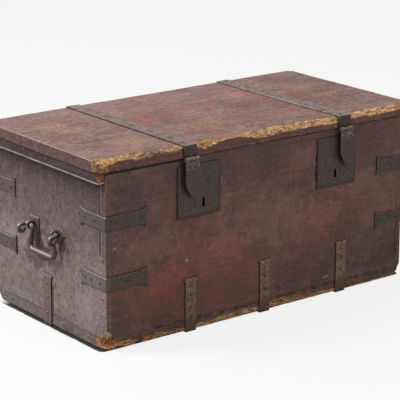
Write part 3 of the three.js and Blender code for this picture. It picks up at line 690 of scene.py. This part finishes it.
def wall_paint(slot, grain, **looks):
    """The case's paint: one look in front and behind, another on the ends, raw wood inside."""
    wood = Wood(slot, grain)
    colour = wood.mix(wood.facing(X), front_tones(wood), end_tones(wood))
    inner = [wood.band(wood.math("ABSOLUTE", wood.places[axis]), INNER_HALF[axis] + 1 * MM, INNER_HALF[axis])
             for axis in (X, Y)]
    inner = wood.most(wood.times(*inner), wood.upward(0.5, 0.8))
    return wood.finish(wood.mix(inner, colour, raw_tones(wood)), **looks)


def bottom_paint():
    wood = Wood("bottom_wood", X)
    return wood.finish(bottom_tones(wood), contrast=1.2, specks=1.5, sparkle=0.5)


def lid_paint():
    wood = Wood("lid_wood", X)
    return wood.finish(lid_tones(wood), lines=0.2, contrast=0.9, specks=1.4, relief=0.7, rub_highlight_tint="d6b8a6",
                       rub_highlight_share=0.8, sparkle=0.8)


def batten_paint():
    """Nearly black-brown, deepened as painted shade under the lid's overhang, with a lower lip rubbed to a
    pale mauve and given a painted highlight.
    """
    wood = Wood("lid_wood", Y)
    wood.material.name = "batten_wood_paint"
    colour = wood.patched_over(wood.figured("3e302e", "553f3c"), BATTEN_STAINS, wood.mottle)
    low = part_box("lid_batten_left")[0][Z]
    # The lower lip: rubbed pale, and a painted highlight
    colour = wood.over(colour, ("c4b3b2", wood.places[Z], low + 4.2 * MM, low + 3.2 * MM, 0.9))
    return wood.finish(colour, lines=0.3)


# Paints for iron

# The middle of the slit beside the left keyhole
SLIT_X, SLIT_Z = -198.4 * MM, 296.5 * MM


def plate_marks(paint, colour, mottle):
    """Dirt round a lock plate's rim, streaks down it, and a slit beside the left keyhole, painted near black
    as the shade inside it.
    """
    streaks = paint.noise(170, paint.stretched((1, 1, 0.12)), detail=4, rough=0.65)
    x, _, z = paint.places
    middles = [np.mean(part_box(f"lock_plate_{side}"), axis=0) for side in ("left", "right")]
    out = paint.math("MINIMUM", *(paint.away(x, middle[X]) for middle in middles))
    out = paint.most(out, paint.away(z, middles[0][Z]))
    out = paint.scaled(mottle, 26 * MM, out)
    colour = paint.over(
        colour, ("2c2624", streaks, 0.52, 0.66, 0.5), ("4a3a35", out, 62 * MM, 72 * MM, 0.6))
    # The slit: painted shade, a near-black line
    across = paint.band(paint.away(x, SLIT_X), 1.3 * MM, 0.7 * MM)
    upright = paint.band(paint.away(z, SLIT_Z), 12 * MM, 9 * MM)
    return paint.mix(paint.times(across, upright), colour, "0c0908")


def strap_marks(paint, colour, mottle):
    """Rubbed and dirty patches along the top of the lid's straps."""
    broad = paint.noise(46, detail=5, rough=0.7, change=3)
    fine = paint.noise(320, paint.stretched((1, 0.35, 1)), detail=4, rough=0.7, change=4)
    top = paint.over(
        paint.mix(paint.band(broad, 0.42, 0.58), "66504b", "8c7670"),
        ("3a2c29", fine, 0.46, 0.34, 0.85), ("d2c2b8", fine, 0.56, 0.66, 0.8))
    return paint.mix(paint.facing(Z), colour, top)


def iron_paint(name, dark, light, rust, rust_share, dust=0.35, top_highlight_share=0.9, metal=0.3,
               marks=None, stains=()):
    """Forged iron: mottled, rusty in clouds, dusty on the ends and the lid, rubbed bright in places with a
    painted highlight along edges, grime and painted shade in crevices, painted highlights on upper edges on
    the ends.
    """
    paint = Paint(name)
    mottle = paint.noise(210, detail=5, rough=0.7)
    clouds = paint.noise(32, detail=5, rough=0.65)
    pits = paint.noise(560, detail=2)
    x, y, z = paint.places
    colour = paint.over(
        paint.mix(paint.band(mottle, 0.36, 0.66), dark, light),
        (rust, clouds, 0.48, 0.64, rust_share), ("453d3a", z, 45 * MM, 20 * MM, 0.6))
    dusty = paint.most(paint.facing(X), paint.times(paint.facing(Z), 1.4))
    dusty = paint.times(dusty, paint.band(mottle, 0.3, 0.5, dust * 0.6, dust))
    colour = paint.over(paint.mix(dusty, colour, "8e7b77"), ("171312", pits, 0.4, 0.28, 0.7))
    # The hasps' knuckles, rubbed grey: in front of the other iron, between two heights
    knuckle = paint.times(paint.band(y, -228.4 * MM, -229.6 * MM), paint.band(z, 372 * MM, 388 * MM))
    knuckle = paint.times(knuckle, paint.band(z, 404 * MM, 400 * MM))
    grey = paint.times(knuckle, paint.band(mottle, 0.5, 0.62, 0, 0.85))
    colour = paint.mix(grey, colour, "a79f8f")
    # Pale along the edges: rubbed wear and a painted highlight
    rubbed = paint.times(paint.attribute("edge"), paint.band(mottle, 0.4, 0.6, 0.05, 0.6))
    colour = paint.mix(rubbed, colour, "a99d94")
    if marks:
        colour = marks(paint, colour, mottle)
    # Darker in crevices: grime and painted shade
    colour = paint.mix(paint.times(paint.hidden(5), 0.9), colour, "130d0b")
    colour = paint.patched_over(colour, stains, mottle)
    # Painted highlights on the upper edges of the iron on the ends
    above = paint.band(paint.normal[Z], 0.25, 0.65, 0, top_highlight_share)
    beside = paint.band(paint.math("ABSOLUTE", x), case_high[X], case_high[X] + 0.6 * MM)
    above = paint.times(paint.times(above, beside), paint.band(z, case_high[Z], case_high[Z] - 5 * MM))
    return paint.shaded({
        "Base Color": paint.mix(above, colour, "f0e0d6"),
        "Roughness": paint.band(mottle, 0.3, 0.7, 0.62, 0.4),
        "Metallic": metal,
        "Normal": paint.bump(paint.scaled(clouds, 2.5, paint.scaled(pits, 0.6, mottle)), 0.7, 0.8),
    })


paints = {
    "case_wood": wall_paint("case_wood", X, lines=0.22, contrast=0.5, specks=0.6, relief=0.5, sparkle=0.35),
    "end_wood": wall_paint("end_wood", Z, lines=0.1, contrast=0.8, specks=1.2, relief=0.25, sparkle=0.7),
    "lid_wood": lid_paint(),
    "bottom_wood": bottom_paint(),
    "batten_wood": batten_paint(),
    "iron": iron_paint("iron_paint", "483f3c", "685b56", "5f483c", 0.5, stains=IRON_STAINS_AND_HIGHLIGHT),
    "plate_iron": iron_paint("plate_iron_paint", "473f3c", "655a56", "5a4439", 0.4, marks=plate_marks),
    "lid_iron": iron_paint("lid_iron_paint", "3e2e29", "5c4a41", "523528", 0.5, marks=strap_marks,
                           stains=IRON_STAINS_AND_HIGHLIGHT),
    "strap_iron": iron_paint("strap_iron_paint", "5c4838", "a88a70", "8a6044", 0.6, dust=0.8),
    "handle_iron": iron_paint("handle_iron_paint", "463d3a", "7a6e69", "5f4c44", 0.3, 0.2, 0.35, 0.4),
    "nail": iron_paint("nail_paint", "2c2422", "4a3f3a", "3f3029", 0.4, 0.15, 0.3),
    "strap_nail": iron_paint("strap_nail_paint", "3a2c24", "6e5644", "52382a", 0.5, 0.6),
}
for name, node in frame["nodes"].items():
    node.data.materials.clear()
    node.data.materials.append(paints[SLOT_OF[name]])


# Worn arrises

def even_legs(leg_1, leg_2, spread, seed):
    """A worn round that widens and narrows along the arris by a share of itself."""
    def legs(along, points):
        swing = 1 + spread * ragged(points, 26, seed)
        return leg_1 * MM * swing, leg_2 * MM * swing
    return legs


def listed_legs(places, firsts, seconds, seed, spread=0.3):
    """A worn round whose reach on each face is listed along the arris."""
    def legs(along, points):
        swing = 1 + spread * ragged(points * (1, 0.2, 0.2), 70, seed)
        first = np.interp(along / MM, places, firsts)
        second = np.interp(along / MM, places, seconds)
        return first * MM * swing, second * MM * swing
    return legs


class Arris:
    """The worn edge between two faces, each given by its outward direction and how far out it lies."""

    def __init__(self, first_face, second_face, legs, depth, raw=True):
        self.first, self.second = (np.array(face[0], float) for face in (first_face, second_face))
        self.first_out, self.second_out = first_face[1], second_face[1]
        self.legs = legs if callable(legs) else even_legs(*legs)
        self.depth = depth
        self.raw = raw

    def wear(self, points, home, seed):
        """Moves points that lie outside the worn round onto it, roughens it, says how worn they are."""
        along = np.abs(np.cross(self.first, self.second))
        depth_1 = self.first_out - points @ self.first
        depth_2 = self.second_out - points @ self.second
        leg_1, leg_2 = self.legs(points @ along, points)
        share_1 = np.clip(1 - depth_1 / leg_1, 0, 1)
        share_2 = np.clip(1 - depth_2 / leg_2, 0, 1)
        reach = np.hypot(share_1, share_2)
        outside = (share_1 > 0) & (share_2 > 0) & (reach > 1)
        scale = np.where(outside, 1 / np.maximum(reach, 1), 1)
        move_1 = leg_1 * share_1 * (1 - scale)
        move_2 = leg_2 * share_2 * (1 - scale)
        moved = points - move_1[:, None] * self.first - move_2[:, None] * self.second
        worn = np.minimum(share_1, share_2)
        ridges = ragged(home, 30 * along + 260 * (1 - along), seed + 31)
        amount = self.depth * MM * (0.5 + 0.5 * ridges) * smooth(worn, 0.05, 0.6)
        inward = (self.first + self.second) * HALF_ROOT
        return moved - amount[:, None] * inward, worn


def corner_chip(centre, radius, depth, seed):
    """Breaks wood away round a point, towards the middle of the chest."""
    def chip(points, home):
        reach = np.linalg.norm(home - np.array(centre), axis=1)
        near = 1 - smooth(reach, radius * MM * 0.35, radius * MM)
        inward = -np.sign(home) * (1, 1, 0)
        amount = near * depth * MM * (0.6 + 0.7 * ragged(home, 110, seed))
        return points + inward * np.maximum(amount, 0)[:, None], near
    return chip


def tilted_cut(corner, cut_above, cut_below):
    """Tilts one of the foot's upright corner cuts: its size changes from below to above."""
    way = np.sign(corner)

    def reshape(points):
        inward = np.abs(points[:, :2] - corner)
        on_cut = np.abs(inward.sum(axis=1) - BOTTOM_CUT) < 0.2 * MM
        share = np.clip(inward[:, 0] / BOTTOM_CUT, 0, 1)
        height = (points[:, Z] - bottom_low[Z]) / (bottom_high[Z] - bottom_low[Z])
        cut = (cut_below + (cut_above - cut_below) * height) * MM
        moved = points.copy()
        moved[:, X] = np.where(on_cut, corner[X] - way[X] * cut * share, points[:, X])
        moved[:, Y] = np.where(on_cut, corner[Y] - way[Y] * cut * (1 - share), points[:, Y])
        return moved
    return reshape


def rounded(points, low, high, radius):
    """Rounds all arrises of a box by a radius that may differ from point to point."""
    radius = radius[:, None]
    inner = np.clip(points, low + radius, high - radius)
    out = points - inner
    length = np.maximum(np.linalg.norm(out, axis=1, keepdims=True), 1e-9)
    return inner + out * np.minimum(1, radius / length)


def second_nearest(points, low, high):
    """Each point's distance to the nearest arris of a box."""
    distances = np.minimum(points - low, high - points)
    return np.maximum(np.sort(distances, axis=1)[:, 1], 0)


def slice_board(bm, low, high, step, near):
    """Cuts a board into a grid that is close near its arrises and open elsewhere."""
    for axis in np.argsort(low - high):
        size = high[axis] - low[axis]
        offsets = [d * MM for d in near if d * MM < size / 2 - 0.4 * MM]
        margin = max(offsets)
        middle = steps_between(low[axis] + margin, high[axis] - margin, step[axis] * MM)
        places = [low[axis] + d for d in offsets] + list(middle) + [high[axis] - d for d in offsets]
        slice_at(bm, axis, places)


def board(node, step, near, wears, chips, seed, seam_share=0.3, reshape=None):
    """A worn plank in place of a plain one."""
    bm = clean_copy(node)
    low, high = box_of(node)
    slice_board(bm, low, high, step, near)
    points = points_of(bm)
    if reshape:
        points = reshape(points)
    home = points.copy()
    bare, rub, chipped = np.zeros((3, len(points)))
    for arris in wears:
        points, worn = arris.wear(points, home, seed)
        if arris.raw:
            bare = np.maximum(bare, worn)
        rub = np.maximum(rub, smooth(worn, 0, 0.4))
    for chip in chips:
        points, share = chip(points, home)
        chipped = np.maximum(chipped, share)
    bare = np.maximum(bare, chipped)
    radius = (0.45 + 0.2 * ragged(home, 60, seed + 5)) * MM
    points = rounded(points, low, high, radius)
    sink = 0.35 * MM * (1 + ragged(home, (7, 14, 14), seed + 9))
    middle = (low + high) / 2
    flat = np.abs(points - middle) > (high - low) / 2 - 0.05 * MM
    points = points - np.sign(points - middle) * flat * sink[:, None]
    put_points(bm, points)
    crack = smooth(second_nearest(home, low, high), 1.6 * MM, 0.2 * MM) * (rub < 0.1)
    on_end = np.abs(home[:, X]) > case_high[X] - 0.2 * MM
    seam = crack * np.where(on_end, 1, seam_share)
    plank = np.full(len(points), seed * 0.37)
    attributes = {"bare": bare, "rub": rub, "chip": chipped, "seam": seam, "plank": plank}
    paint = "batten_wood" if "batten" in node else SLOT_OF[node]
    piece = finished(bm, node + "_worn", node, paint, attributes)
    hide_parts(node)


# Boards

EAST, WEST = (1, 0, 0), (-1, 0, 0)
NORTH, SOUTH = (0, 1, 0), (0, -1, 0)
TOP, BELOW = (0, 0, 1), (0, 0, -1)
SOUTHWEST = (-HALF_ROOT, -HALF_ROOT, 0)
SOUTHEAST = (HALF_ROOT, -HALF_ROOT, 0)

# Distances from the arrises at which boards are cut for shaping, in millimetres
NEAR = (0.6, 1.5, 3, 5.5)
NEAR_BATTEN = (0.5, 1.2, 2.4)
NEAR_CHIP = (*NEAR, 9, 13, 18, 24)
NEAR_FOOT = (0.6, 1.5, 3, 5, 8, 12)
NEAR_LID_FRONT = (0.6, 1.5, 3, 4.5, 6.5, 9, 12, 16, 21, 27, 34)

# Worn bands along the lid's front: places along its length, then how far the bare wood reaches
# on the top, down the front from above, and up the front from below, in millimetres
LID_WEAR = [
    (-455, 14, 18, 5), (-412, 30, 8, 5), (-375, 34, 7, 1.5), (-345, 33, 13, 1), (-318, 18, 12, 1),
    (-302, 4, 3, 1), (-285, 20, 11, 0.8), (-255, 26, 12, 0.8), (-240, 18, 4, 0.8), (-200, 18, 8, 0.8),
    (-174, 22, 16, 1), (-140, 18, 8, 1), (-112, 4, 2, 1), (-72, 6, 3, 1), (-48, 30, 12, 2),
    (-5, 26, 18, 3), (46, 26, 13, 3.4), (100, 27, 14, 2), (130, 25, 12, 1.2), (190, 18, 16, 0.8),
    (258, 22, 12, 0.8), (330, 27, 14, 2.6), (375, 18, 13, 1.2), (455, 16, 12, 1),
]
# The same for the foot of the chest: places, then how far the bare wood reaches below and up the front
FOOT_WEAR = [
    (-434, 2, 18), (-374, 2, 19), (-346, 2, 7), (-326, 2, 19), (-298, 2, 19), (-262, 2, 11),
    (-190, 2, 14), (-150, 2, 16), (-60, 2, 17), (-12, 2, 17), (24, 2, 24), (90, 2, 21), (130, 2, 16),
    (205, 2, 12), (232, 2, 5), (256, 2, 5), (434, 2, 6),
]


def add_case():
    front_y, back_y, end_x = -case_low[Y], case_high[Y], case_high[X]
    south, north, west, east = (SOUTH, front_y), (NORTH, back_y), (WEST, end_x), (EAST, end_x)
    corners = [
        Arris(side, face, (2.2, 1.8, 0.45, 3), 0.3, False)
        for face in (south, north) for side in (west, east)]
    foot_chip = [corner_chip((-end_x, -front_y, bottom_high[Z]), 22, 6, 46)]
    for k, name in enumerate(("lower", "middle", "upper")):
        near, chips = (NEAR_CHIP, foot_chip) if name == "lower" else (NEAR, [])
        board(f"front_board_{name}", (12, 12, 12), near, corners, chips, 10 + k, 0.05)
        board(f"back_board_{name}", (16, 16, 16), NEAR, corners, [], 20 + k)
    for k, side, near in ((30, "left", NEAR_CHIP), (31, "right", NEAR)):
        board(f"{side}_end_board", (12, 12, 12), near, corners, foot_chip, k)

    below = (BELOW, -bottom_low[Z])
    wears = [
        Arris(south, below, listed_legs(*zip(*FOOT_WEAR), 41), 1.0),
        Arris(north, below, (5, 5, 0.5, 43), 1.2),
        Arris(west, below, (2, 2, 0.4, 44), 0.3, False),
        Arris(east, below, (3, 3, 0.4, 45), 0.4, False),
    ]
    cut = BOTTOM_CUT / 2
    chips = [
        corner_chip((-end_x, -front_y + 1.5 * cut, bottom_high[Z] - 6 * MM), 32, 6, 46),
        corner_chip((end_x - cut, -front_y + cut, -bottom_low[Z]), 24, 3, 47),
        corner_chip((-end_x + cut, back_y - cut, -bottom_low[Z]), 24, 2, 48),
    ]
    board("bottom_board_front", (6, 14, 6), NEAR_FOOT, wears, chips, 40, 0.9,
          tilted_cut(np.array([end_x, -front_y]), 4, 15))
    board("bottom_board_back", (12, 14, 8), NEAR_FOOT, wears, chips, 49,
          reshape=tilted_cut(np.array([-end_x, back_y]), 3, 22))


def add_lid():
    front_y, end_x, top_z = -lid_low[Y], lid_high[X], lid_high[Z]
    south, north, west, east = (SOUTH, front_y), (NORTH, lid_high[Y]), (WEST, end_x), (EAST, end_x)
    top, under = (TOP, top_z), (BELOW, -lid_low[Z])
    cut_out = (end_x + front_y - LID_CUT) * HALF_ROOT
    places, wear_top, wear_front, wear_low = zip(*LID_WEAR)
    wears = [
        Arris(south, top, listed_legs(places, wear_top, wear_front, 11), 2.6),
        Arris((SOUTHWEST, cut_out), top, (9, 7, 0.3, 51), 1.6),
        Arris((SOUTHEAST, cut_out), top, (6, 6, 0.3, 52), 1.2),
        Arris(south, under, listed_legs(places, wear_low, wear_low, 12, 0.5), 0.8),
        Arris(west, top, (2.4, 3.4, 0.5, 54), 0.5, False),
        Arris(east, top, (2.4, 3.4, 0.5, 55), 0.5, False),
        Arris(north, top, (2.2, 3, 0.5, 56), 0.5, False),
        Arris(west, under, (1.8, 1.8, 0.4, 57), 0.3, False),
        Arris(east, under, (1.8, 1.8, 0.4, 58), 0.3, False),
    ]
    chips = [corner_chip((-end_x + LID_CUT / 2, -front_y + LID_CUT / 2, top_z - 12 * MM), 26, 2.5, 63)]
    board("lid_board_front", (4, 14, 5), NEAR_LID_FRONT, wears, chips, 60, 0.06)
    board("lid_board_middle", (12, 14, 14), NEAR, wears, [], 61, 0.06)
    board("lid_board_back", (12, 14, 14), NEAR, wears, [], 62, 0.06)
    for k, side in ((70, "left"), (71, "right")):
        board(f"lid_batten_{side}", (6, 14, 6), NEAR_BATTEN, [], [], k)


# Iron

LID_STRAP_SINK = 0.9 * MM
FORGE_STEP = 9 * MM
HAMMER_DEPTH = 0.3 * MM
# Iron pieces with a paint of their own, by the start of their names
SPECIAL_PAINTS = {"lock_plate": "plate_iron", "lid_strap": "lid_iron"}


def inside_box(points):
    """Keeps hammered iron within the solids' box."""
    margin = np.array((0.15, 0.15, 0)) * MM
    return np.clip(points, np.array(solid_bounds[0]) + margin, np.array(solid_bounds[1]) - margin)


def forged(node, bevel=0.6):
    """A hammered copy of an iron piece, with its arrises rounded and marked."""
    bm = clean_copy(node)
    edges = [edge for edge in bm.edges if edge.calc_face_angle(0) > math.radians(35)]
    bmesh.ops.bevel(
        bm, geom=edges, offset=bevel * MM, segments=2, profile=0.6, affect="EDGES", clamp_overlap=True)
    low, high = box_of(node)
    for axis in np.argsort(low - high):
        if high[axis] - low[axis] > 2 * FORGE_STEP:
            slice_at(bm, axis, steps_between(low[axis], high[axis], FORGE_STEP))
    bm.normal_update()
    on_edge = [
        max((edge.calc_face_angle(0) for edge in vertex.link_edges), default=0) > math.radians(18)
        for vertex in bm.verts]
    points = points_of(bm)
    swing = np.stack([ragged(points, 75, 80 + axis) for axis in range(3)], axis=1)
    points = points + swing * HAMMER_DEPTH
    if node.startswith("lid_strap"):
        points[:, Z] -= np.where(points[:, Z] > lid_high[Z] + 1 * MM, LID_STRAP_SINK, 0)
    put_points(bm, inside_box(points))
    special = [paint for start, paint in SPECIAL_PAINTS.items() if node.startswith(start)]
    paint = special[0] if special else SLOT_OF[node]
    piece = finished(bm, node + "_forged", node, paint, {"edge": np.array(on_edge, float)})
    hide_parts(node)


def smooth_forging(node, swell, grip=0):
    """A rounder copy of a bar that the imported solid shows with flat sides."""
    bm = bmesh.new()
    bm.from_mesh(frame["nodes"][node].data)
    bmesh.ops.remove_doubles(bm, verts=bm.verts, dist=0.01 * MM)
    limit = math.radians(40)
    bmesh.ops.join_triangles(bm, faces=bm.faces, angle_face_threshold=limit, angle_shape_threshold=limit)
    bm.normal_update()
    normals = np.array([vertex.normal for vertex in bm.verts])
    points = points_of(bm)
    dent = ragged(points, 90, 95)
    drop = (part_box(node)[1][Z] - points[:, Z]) * grip
    swell = swell + 1.1 * smooth(drop, 14 * MM, 40 * MM)
    points = points + normals * (swell + 0.35 * dent)[:, None] * MM
    put_points(bm, inside_box(points))
    piece = finished(bm, node + "_forged", node, "handle_iron", {"edge": smooth(dent, 0.1, 0.8)}, 80)
    rounder = piece.modifiers.new("rounder", "SUBSURF")
    rounder.levels = rounder.render_levels = 1
    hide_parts(node)


NAIL_SIDES = 10
# A nail head's rings: share of its radius, share of its height
NAIL_RINGS = [(1.0, -0.4), (1.0, 0.3), (0.78, 0.75), (0.4, 0.98)]
# Nails along the straps: heights over the floor and over a hinge leaf's foot, and places from
# back to front on the lid, in millimetres
BOTTOM_STRAP_NAILS = (110, 88, 58, 34)
END_STRAP_NAILS = (98, 65, 28)
HINGE_LEAF_NAILS = (10, 34, 58)
LID_STRAP_NAILS = {
    "lid_strap_left": (87, -5, -86, -153, -202),
    "lid_strap_right": (211, 125, 48, -92, -160, -211),
}


def nail_heads(name, carrier, places, outward, radius, height, seed):
    """Hammered nail heads on a flat face of an iron piece; they move with it."""
    bm = bmesh.new()
    outward = Vector(outward)
    across = outward.orthogonal().normalized()
    along = outward.cross(across)
    rand = np.random.default_rng(seed)
    for place in places:
        swell, squash, turn = rand.uniform(0.85, 1.15), rand.uniform(0.85, 1.1), rand.uniform(0, math.tau)
        middle = Vector(place) + (across * rand.uniform(-1, 1) + along * rand.uniform(-1, 1)) * 1.2 * MM
        rings = []
        for out_share, up_share in NAIL_RINGS:
            ring = []
            for k in range(NAIL_SIDES):
                angle = turn + math.tau * k / NAIL_SIDES
                reach = radius * MM * swell * out_share * rand.uniform(0.93, 1.07)
                flat = across * math.cos(angle) * reach + along * math.sin(angle) * reach * squash
                ring.append(bm.verts.new(middle + flat + outward * height * MM * up_share))
            rings.append(ring)
        for inner, outer in zip(rings[1:], rings):
            for k in range(NAIL_SIDES):
                after = (k + 1) % NAIL_SIDES
                bm.faces.new((outer[k], outer[after], inner[after], inner[k]))
        bm.faces.new(rings[-1])
        bm.faces.new(rings[0][::-1])
    rings_of_verts = np.arange(len(bm.verts)) // NAIL_SIDES % len(NAIL_RINGS)
    # The heads' tops get a painted highlight through the iron paints' edge colour
    top_highlight = (rings_of_verts == len(NAIL_RINGS) - 1) * 0.3
    paint = "strap_nail" if SLOT_OF[carrier] == "strap_iron" else "nail"
    finished(bm, name, carrier, paint, {"edge": top_highlight})


def add_nails():
    """Nails in the straps, the lock plates and the hinge leaves."""
    for name in SLOT_OF:
        low, high = box_of(name)
        middle = (low + high) / 2
        x_way, y_way = np.sign(middle[:2])
        end_x, face_y = case_high[X] + IRON, case_high[Y] + IRON
        seed = sum(map(ord, name))

        def nails(suffix, places, outward, radius=3.4, height=1.2, shift=0):
            nail_heads(name + suffix, name, places, outward, radius, height, seed + shift)

        if name.startswith("corner_strap"):
            face_arm, end_arm = high[X] - low[X], high[Y] - low[Y]
            places = [(x_way * (case_high[X] - face_arm * share), y_way * face_y, middle[Z])
                      for share in (0.24, 0.48, 0.84)]
            nails("_face_nails", places, (0, y_way, 0), 3.8)
            shares = (0.2, 0.54, 0.8) if name.endswith("lower") else (0.4, 0.8)
            places = [(x_way * end_x, y_way * (case_high[Y] - end_arm * share), middle[Z])
                      for share in shares]
            nails("_end_nails", places, (x_way, 0, 0), 3.8, shift=1)
        if name.startswith("bottom_strap"):
            for way, side in ((-1, "front"), (1, "back")):
                places = [(middle[X], way * face_y, z * MM) for z in BOTTOM_STRAP_NAILS]
                nails(f"_{side}_nails", places, (0, way, 0), shift=way)
        if name.startswith("lock_plate"):
            inset = 8 * MM
            places = [(x, low[Y], z) for x in (low[X] + inset, high[X] - inset)
                      for z in (low[Z] + inset, high[Z] - inset)]
            nails("_nails", places, (0, -1, 0), 2.6, 0.9)
        if name.startswith("back_hinge_leaf"):
            places = [(middle[X], face_y, low[Z] + rise * MM) for rise in HINGE_LEAF_NAILS]
            nails("_nails", places, (0, 1, 0))
        if name.startswith("end_strap"):
            places = [(x_way * end_x, middle[Y], z * MM) for z in END_STRAP_NAILS]
            nails("_nails", places, (x_way, 0, 0))
        if name.startswith("lid_strap"):
            places = [(middle[X], y * MM, high[Z] - LID_STRAP_SINK) for y in LID_STRAP_NAILS[name]]
            nails("_nails", places, (0, 0, 1), 4.2, LID_STRAP_SINK / MM)


def add_iron():
    for node, slot in SLOT_OF.items():
        if node.startswith(("lock_case", "lock_bolt")) or slot not in ("iron", "strap_iron"):
            continue
        if node.startswith("handle_bail"):
            smooth_forging(node, 0.45, 1)
        elif node.startswith("handle_eye"):
            smooth_forging(node, 0.3)
        else:
            forged(node, 1.1 if node.startswith("corner_strap") else 0.6)


# Stage

def add_world():
    world = bpy.data.worlds.new("studio")
    world.use_nodes = True
    net = Net(world.node_tree)
    path = net.node("LightPath", {}).outputs
    seen = path["Is Camera Ray"]
    for ray in ("Is Glossy Ray", "Is Transmission Ray"):
        seen = net.most(seen, path[ray])
    level = net.node("MapRange", {"Value": seen, "To Min": 0.4, "To Max": 1.0})
    background = net.tree.nodes["Background"].inputs
    net.feed(background["Strength"], level.outputs["Result"])
    net.feed(background["Color"], (0.93, 0.93, 0.93, 1))
    bpy.context.scene.world = world


def floor_paint():
    """Pale, with a painted shadow line where the chest's back and ends meet the floor."""
    paint = Paint("floor_paint")
    seen = paint.node("LightPath", {}).outputs["Is Camera Ray"]
    # The painted shadow: a ragged dark band round the chest's back and ends, left out in front and near the
    # back left corner
    in_front = paint.band(paint.places[Y], case_low[Y] + 10 * MM, case_low[Y] + 7 * MM)
    x, y = (paint.math("ABSOLUTE", paint.places[axis]) for axis in (X, Y))
    beyond = [paint.math("SUBTRACT", x, case_high[X]), paint.math("SUBTRACT", y, case_high[Y])]
    past_corner = (case_high[X] + case_high[Y] - BOTTOM_CUT) * HALF_ROOT
    beyond_cut = paint.scaled(paint.math("ADD", x, y), HALF_ROOT, -past_corner)
    out = paint.most(paint.most(*beyond), beyond_cut)
    out = paint.scaled(paint.noise(40), 6 * MM, out)
    outside_painted_shadow = paint.most(paint.band(out, 10 * MM, 14 * MM), in_front)
    outside_painted_shadow = paint.most(outside_painted_shadow, paint.patch((-440, 226, 0), (60, 60, 60), 0.5))
    shown = paint.mix(outside_painted_shadow, "4c4e4b", "828282")
    return paint.shaded({
        "Base Color": paint.mix(seen, "b2b2b2", shown),
        "Roughness": 1,
        "Specular IOR Level": 0,
        "Emission Color": "ffffff",
        "Emission Strength": paint.times(seen, paint.times(outside_painted_shadow, 0.8)),
    })


def add_floor():
    mesh = bpy.data.meshes.new("floor")
    bm = bmesh.new()
    bmesh.ops.create_grid(bm, x_segments=1, y_segments=1, size=9)
    bm.to_mesh(mesh)
    bm.free()
    floor = bpy.data.objects.new("floor", mesh)
    bpy.context.scene.collection.objects.link(floor)
    floor.data.materials.append(floor_paint())


def add_lamp(name, place, aim, size, power):
    data = bpy.data.lights.new(name, "AREA")
    data.shape = "RECTANGLE"
    data.size = data.size_y = size
    data.energy = power
    lamp = bpy.data.objects.new(name, data)
    bpy.context.scene.collection.objects.link(lamp)
    lamp.location = place
    lamp.rotation_euler = (Vector(aim) - Vector(place)).to_track_quat("-Z", "Y").to_euler()


bpy.context.scene.view_settings.view_transform = "Standard"
add_camera()
add_world()
add_floor()
add_lamp("key", (-2.2, 1.3, 2.4), (0, 0, 0.25), 1.3, 62)
add_lamp("fill_front", (0.8, -3.4, 2.0), (0, 0, 0.2), 2.0, 26)

add_case()
add_lid()
add_iron()
add_nails()
